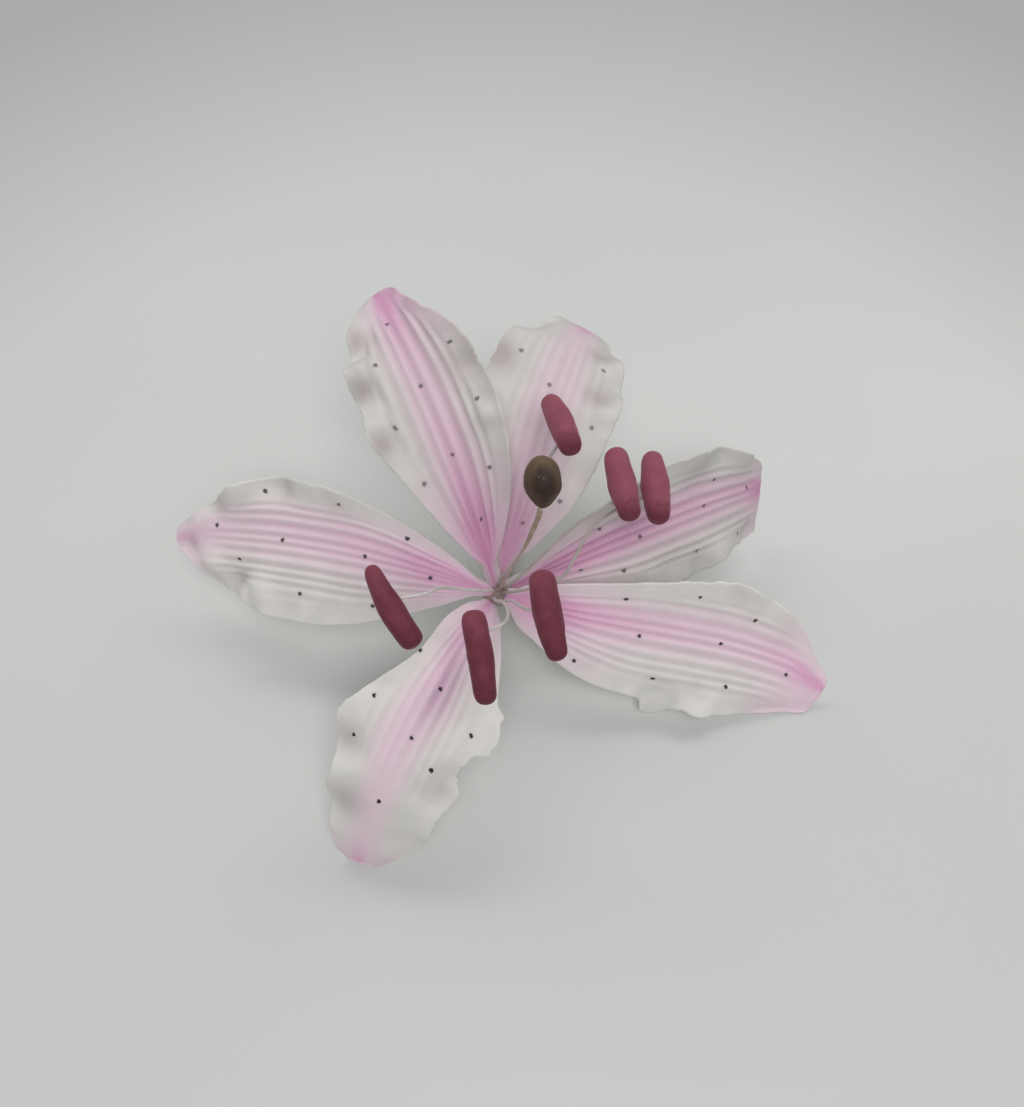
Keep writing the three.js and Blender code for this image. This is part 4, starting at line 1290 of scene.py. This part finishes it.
class LilyStamenChoices(bpy.types.PropertyGroup):
    """The anthers' paste and the covered wires."""

    anther_colour: colour_choice("Anther", "Wine-red paste", (0.135, 0.027, 0.045))
    # Also the painted light on the anthers' upper ends.
    anther_pale: colour_choice("Powdered anther", "Its paler parts", (0.31, 0.085, 0.125))
    dent_depth: length_choice("Dent depth", "Depth of the fingers' dents", 0.36)
    paper_colour: colour_choice("Wire paper", "Paper wound on the wires", (0.7, 0.67, 0.65))
    paper_edge: colour_choice("Paper edge", "Shade under a lap of the paper", (0.4, 0.37, 0.36))
    # A darker, tan-grey paper for the far wires.
    far_paper_colour: colour_choice("Stained paper", "The far wires' paper", (0.5, 0.45, 0.43))
    lap_spacing: length_choice("Lap spacing", "Length along a wire of one lap of paper", 4.2)
    lap_height: length_choice("Lap height", "How high a lap of paper stands", 0.05)


class LilyPistilChoices(bpy.types.PropertyGroup):
    """The stigma, the style and their wire."""

    stigma_colour: colour_choice("Stigma", "Olive-brown paste", (0.075, 0.046, 0.03))
    # Painted light: the lighter colour of the stigma's top.
    stigma_lit_top: colour_choice("Stigma top", "The paste where it is lighter", (0.14, 0.092, 0.056))
    style_colour: colour_choice("Style", "Tan paste of the style", (0.46, 0.36, 0.26))
    wire_colour: colour_choice("Wire", "Pinkish-brown paper on the wire", (0.55, 0.42, 0.39))
    wire_edge: colour_choice("Wire edge", "Shade under a lap of that paper", (0.34, 0.22, 0.2))


class LilyStemChoices(bpy.types.PropertyGroup):
    """The tape round the stem."""

    tape_colour: colour_choice("Tape", "Colour of the stem's paper tape", (0.42, 0.4, 0.32))
    tape_edge: colour_choice("Tape edge", "Shade under a lap of the tape", (0.2, 0.18, 0.14))
    hub_colour: colour_choice("Hub", "The tape where pink dust has caught", (0.52, 0.36, 0.35))
    tape_spacing: length_choice("Lap spacing", "Length along the stem of one lap of tape", 7.5)
    tape_height: length_choice("Lap height", "How high a lap of tape stands", 0.16)


class LilyStudioChoices(bpy.types.PropertyGroup):
    """The floor and the light."""

    floor_colour: colour_choice("Floor", "Colour of the pale floor", (0.645, 0.66, 0.648))
    ceiling_power: number_choice("Ceiling", "The lamp over the camera", 8.6, unit="POWER")
    window_power: number_choice("Window", "The wide light behind", 9.8, unit="POWER")
    sky_strength: number_choice("Room light", "The room's even light", 0.28, subtype="FACTOR")


# Operators


class LILY_OT_petals(bpy.types.Operator):
    """Makes the six petals of veined white paste, with pink dust and ink dots"""

    bl_idname = "lily.petals"
    bl_label = "Petals"

    def execute(self, context):
        for petal in PETALS:
            make_petal(petal, context.scene.lily_petals)
        return {"FINISHED"}


class LILY_OT_petal_wires(bpy.types.Operator):
    """Makes the covered wire that holds each petal"""

    bl_idname = "lily.petal_wires"
    bl_label = "Petal wires"

    def execute(self, context):
        choices = context.scene.lily_stamens
        paper = wire_paper_finish("petal_wire_paper", choices.paper_colour, choices.paper_edge)
        tree = wrapped_run_tree()
        for petal in PETALS:
            node = petal["name"].replace("petal", "wire")
            run = petal_wire_run(petal)
            make_wire(node, run, WIRE_RADIUS, tree, paper, choices, petal["slot"])
        return {"FINISHED"}


class LILY_OT_stamens(bpy.types.Operator):
    """Makes the six filaments of covered wire and their anthers of wine-red paste"""

    bl_idname = "lily.stamens"
    bl_label = "Stamens"

    def execute(self, context):
        choices = context.scene.lily_stamens
        edge = choices.paper_edge
        paper = wire_paper_finish("filament_paper", choices.paper_colour, edge)
        greyed = wire_paper_finish("far_filament_paper", choices.far_paper_colour, edge)
        wire_tree, paste_tree = wrapped_run_tree(), rolled_paste_tree()
        for stamen in STAMENS:
            cover = greyed if stamen["place"] in FAR_STAMENS else paper
            make_filament(stamen, wire_tree, cover, choices)
            make_anther(stamen, paste_tree, choices)
        return {"FINISHED"}


class LILY_OT_pistil(bpy.types.Operator):
    """Makes the pistil: its covered wire, the tan style and the olive-brown stigma"""

    bl_idname = "lily.pistil"
    bl_label = "Pistil"

    def execute(self, context):
        choices = context.scene.lily_pistil
        run = free_wire_run(bundle_run(0, 0), PISTIL, STIGMA_WIDTH / 2)
        paper = wire_paper_finish("pistil_wire_paper", choices.wire_colour, choices.wire_edge)
        make_wire(
            "pistil_wire", run, PISTIL_WIRE_RADIUS, wrapped_run_tree(), paper,
            context.scene.lily_stamens, PISTIL_WIRE_SEED,
        )
        tree = rolled_paste_tree()
        make_stigma(tree, choices)
        make_style(run, tree, choices)
        return {"FINISHED"}


class LILY_OT_stem(bpy.types.Operator):
    """Makes the paper tape that binds the wires into one stem"""

    bl_idname = "lily.stem"
    bl_label = "Stem"

    def execute(self, context):
        make_stem_tape(context.scene.lily_stem)
        return {"FINISHED"}


class LILY_OT_studio(bpy.types.Operator):
    """Makes the pale floor, the soft light and the photograph's camera"""

    bl_idname = "lily.studio"
    bl_label = "Studio"

    def execute(self, context):
        choices = context.scene.lily_studio
        lay_floor(choices)
        hang_lights(context.scene, choices)
        place_camera(context.scene)
        return {"FINISHED"}


def make_petal(petal, choices):
    top, bottom, marks = petal_surfaces(petal)
    name = "lily_" + petal["name"]
    mesh = sheet_between(name, top, bottom)
    t, s = petal_grid(petal)
    t = np.maximum(t, 0)
    # Each value lies on the upper face, and a share of it on the lower one.
    for label, upper, lower_share in [
        ("dust", pink_dust(petal, t, s), 0.2),
        ("stain", mauve_patch(petal, t, s), 0),
        # Painted shade in the thumb's hollows.
        ("hollow", petal["painted_hollow_share"] * np.maximum(-marks, 0), 0),
        # Painted shade in the veiner's grooves, on both faces.
        ("groove", petal["painted_groove_share"] * np.maximum(grooves(petal, t, s), 0), 1),
    ]:
        add_values(mesh, label, [upper, lower_share * upper])
    dots = seen_places(top.reshape(-1, 3), INK_DOTS[petal["name"]])
    mesh.materials.append(petal_finish(petal, dots, choices))
    stands_for(placed(name, mesh), petal["name"])


def make_wire(node, run, radius, tree, paper, choices, seed):
    # The paper's laps stand proud of the bare radius by half of their height.
    girth = radius - choices.lap_height / MM / 2
    piece = grown(
        node, run, girth, tree, Lap_Spacing=choices.lap_spacing, Lap_Height=choices.lap_height,
        Seed=float(seed), Material=paper,
    )
    stands_for(piece, node)


def make_filament(stamen, tree, paper, choices):
    run = free_wire_run(inner_slot(stamen["slot"]), stamen, ANTHER_WIDTH / 2)
    node = "filament_" + stamen["place"]
    make_wire(node, run, SEEN_WIRE_RADIUS, tree, paper, choices, FILAMENT_SEED + stamen["slot"])


def rows_along_paste(count):
    """Places from -1 to 1 along a rolled body of paste, closer together at its ends."""
    return np.sin(np.linspace(-np.pi / 2, np.pi / 2, count))


def make_anther(stamen, tree, choices):
    u = rows_along_paste(60)
    lower, upper = stamen["taper"]
    round_ends = np.sqrt(np.maximum(1 - np.abs(u) ** ANTHER_SQUARENESS, 0))
    worn = stamen["thick"] - lower * smooth(-0.1, 1, -u) - upper * smooth(-0.1, 1, u)
    girth = ANTHER_WIDTH / 2 * round_ends * worn
    node = "anther_" + stamen["place"]
    paleness = FAR_ANTHER_PALENESS if stamen["place"] in FAR_STAMENS else 0.0
    paste = anther_finish(node + "_paste", choices.anther_colour, choices.anther_pale, paleness)
    piece = grown(
        node, paste_axis(stamen, ANTHER_LENGTH, u), girth, tree, Dent_Depth=choices.dent_depth,
        Dent_Size=3.4 * MM, Sides=40, Seed=float(stamen["slot"]) * 0.05, Material=paste,
    )
    stands_for(piece, node)


def make_stigma(tree, choices):
    u = rows_along_paste(56)
    egg = np.sqrt(np.maximum(1 - u * u, 0)) * (1.0 - STIGMA_NARROWING * smooth(0.1, 1, -u))
    girth = STIGMA_WIDTH / 2 * 0.97 * egg
    stigma = grown(
        "stigma", paste_axis(PISTIL, STIGMA_LENGTH, u), girth, tree, Dent_Depth=0.5 * MM,
        Dent_Size=4.0 * MM, Sides=48, Seed=0.9,
    )
    places = np.array([tuple(corner.co) for corner in stigma.data.vertices])
    painted_glints = seen_places(places[places[:, 2] > places[:, 2].mean()], PAINTED_GLINT_PIXELS)
    stigma.data.materials.clear()
    stigma.data.materials.append(stigma_finish(choices.stigma_colour, choices.stigma_lit_top, painted_glints))
    stands_for(stigma, "stigma")


def make_style(run, tree, choices):
    """The style covers the last stretch of the pistil's wire, and is thicker towards its end."""
    sleeve = run[-STYLE_PLACES:-1]
    share = np.linspace(0, 1, len(sleeve))
    girth = mix(STYLE_START_RADIUS, STYLE_RADIUS, smooth(0, 0.6, share))
    style = grown(
        "style", sleeve, girth, tree, Flatness=0.25, Dent_Depth=0.3 * MM, Dent_Size=2.0 * MM,
        Sides=28, Seed=0.4, Material=style_finish(choices.style_colour),
    )
    stands_for(style, "style")


def make_stem_tape(choices):
    """The tape runs up the stem and closes in round the wires in a low mound between the claws."""
    stem = bundle_run(0, 0, STEM_LENGTH - TAPE_END_SETBACK)
    behind = np.linspace(TAPE_START, MOUND_TOP, 30)[1:]
    mound = in_bloom(np.stack([0 * behind, 0 * behind, -behind], axis=-1))
    share = (TAPE_START - behind) / (TAPE_START - MOUND_TOP)
    swell = mix(TAPE_OUTER_RADIUS, MOUND_RADIUS, smooth(0, MOUND_WIDEST, share))
    rounding = np.maximum((share - MOUND_WIDEST) / (1 - MOUND_WIDEST), 0)
    closing = np.sqrt(np.maximum(1 - rounding**2.4, 0.0001))
    bare = TAPE_OUTER_RADIUS - choices.tape_height / MM
    girth = np.concatenate([np.full(len(stem), bare), swell * closing])
    piece = grown(
        "stem_tape", np.vstack([stem, mound]), girth, wrapped_run_tree(),
        Lap_Spacing=choices.tape_spacing, Lap_Height=choices.tape_height, Unevenness=0.16 * MM,
        Step=0.3 * MM, Sides=28, Seed=0.7, Material=stem_tape_finish(choices),
    )
    for point in piece.data.vertices:
        point.co.z = max(point.co.z, 0.0)
    stands_for(piece, "stem_tape")


def lay_floor(choices):
    half, low = 2.5, -0.05 * MM
    corners = [(-half, -half, low), (half, -half, low), (half, half, low), (-half, half, low)]
    mesh = bpy.data.meshes.new("floor")
    mesh.from_pydata(corners, [], [(0, 1, 2, 3)])
    mesh.materials.append(floor_finish(choices.floor_colour))
    placed("floor", mesh)


def hang_lights(scene, choices):
    world = bpy.data.worlds.new("room")
    world.use_nodes = True
    sky = world.node_tree.nodes["Background"]
    sky.inputs["Color"].default_value = SKY_COLOUR
    sky.inputs["Strength"].default_value = choices.sky_strength
    scene.world = world
    hang_lamp("ceiling", choices.ceiling_power, CEILING_PLACE, CEILING_SIZE)
    hang_lamp("window", choices.window_power, WINDOW_PLACE, WINDOW_SIZE)
    scene.view_settings.view_transform = "Standard"


def hang_lamp(name, power, place, size):
    """A soft lamp that faces the bloom."""
    lamp = bpy.data.lights.new(name, "AREA")
    lamp.shape = "RECTANGLE"
    lamp.size, lamp.size_y = size
    lamp.energy = power
    lamp.color = LAMP_COLOUR
    hanging = placed(name, lamp)
    hanging.location = place
    hanging.rotation_euler = (-hanging.location).to_track_quat("-Z", "Y").to_euler()


def place_camera(scene):
    camera = bpy.data.cameras.new("photograph")
    camera.sensor_width = SENSOR_MM
    camera.lens = SENSOR_MM * FOCAL_PIXELS / max(PHOTO_WIDTH, PHOTO_HEIGHT)
    camera.clip_start, camera.clip_end = 0.01, 20
    place, right, up, view = camera_axes()
    turn = Matrix((right, up, -view)).transposed().to_4x4()
    scene.camera = placed("photograph", camera)
    scene.camera.matrix_world = Matrix.Translation(place) @ turn


# The panel


class LILY_PT_bloom(bpy.types.Panel):
    """The bloom's sizes, colours and parts"""

    bl_idname = "LILY_PT_bloom"
    bl_label = "Rubrum lily"
    bl_space_type = "VIEW_3D"
    bl_region_type = "UI"
    bl_category = "Lily"

    def draw(self, context):
        for group, _, steps in STEPS:
            box = self.layout.box()
            choices = getattr(context.scene, group)
            for key in choices.bl_rna.properties.keys():
                if key not in ("rna_type", "name"):
                    box.prop(choices, key)
            for step in steps:
                box.operator("lily." + step)


# Each group of choices, and the operators that use it in the order that they run.
STEPS = [
    ("lily_petals", LilyPetalChoices, ["petals"]),
    ("lily_stamens", LilyStamenChoices, ["petal_wires", "stamens"]),
    ("lily_pistil", LilyPistilChoices, ["pistil"]),
    ("lily_stem", LilyStemChoices, ["stem"]),
    ("lily_studio", LilyStudioChoices, ["studio"]),
]

CLASSES = [
    LILY_OT_petals, LILY_OT_petal_wires, LILY_OT_stamens, LILY_OT_pistil, LILY_OT_stem,
    LILY_OT_studio, LILY_PT_bloom,
]


def register():
    for group, kind, _ in STEPS:
        bpy.utils.register_class(kind)
        setattr(bpy.types.Scene, group, bpy.props.PointerProperty(type=kind))
    for kind in CLASSES:
        bpy.utils.register_class(kind)


def unregister():
    for kind in reversed(CLASSES):
        bpy.utils.unregister_class(kind)
    for group, kind, _ in STEPS:
        delattr(bpy.types.Scene, group)
        bpy.utils.unregister_class(kind)


def main():
    register()
    for _, _, steps in STEPS:
        for step in steps:
            getattr(bpy.ops.lily, step)()


if __name__ == "__main__":
    main()
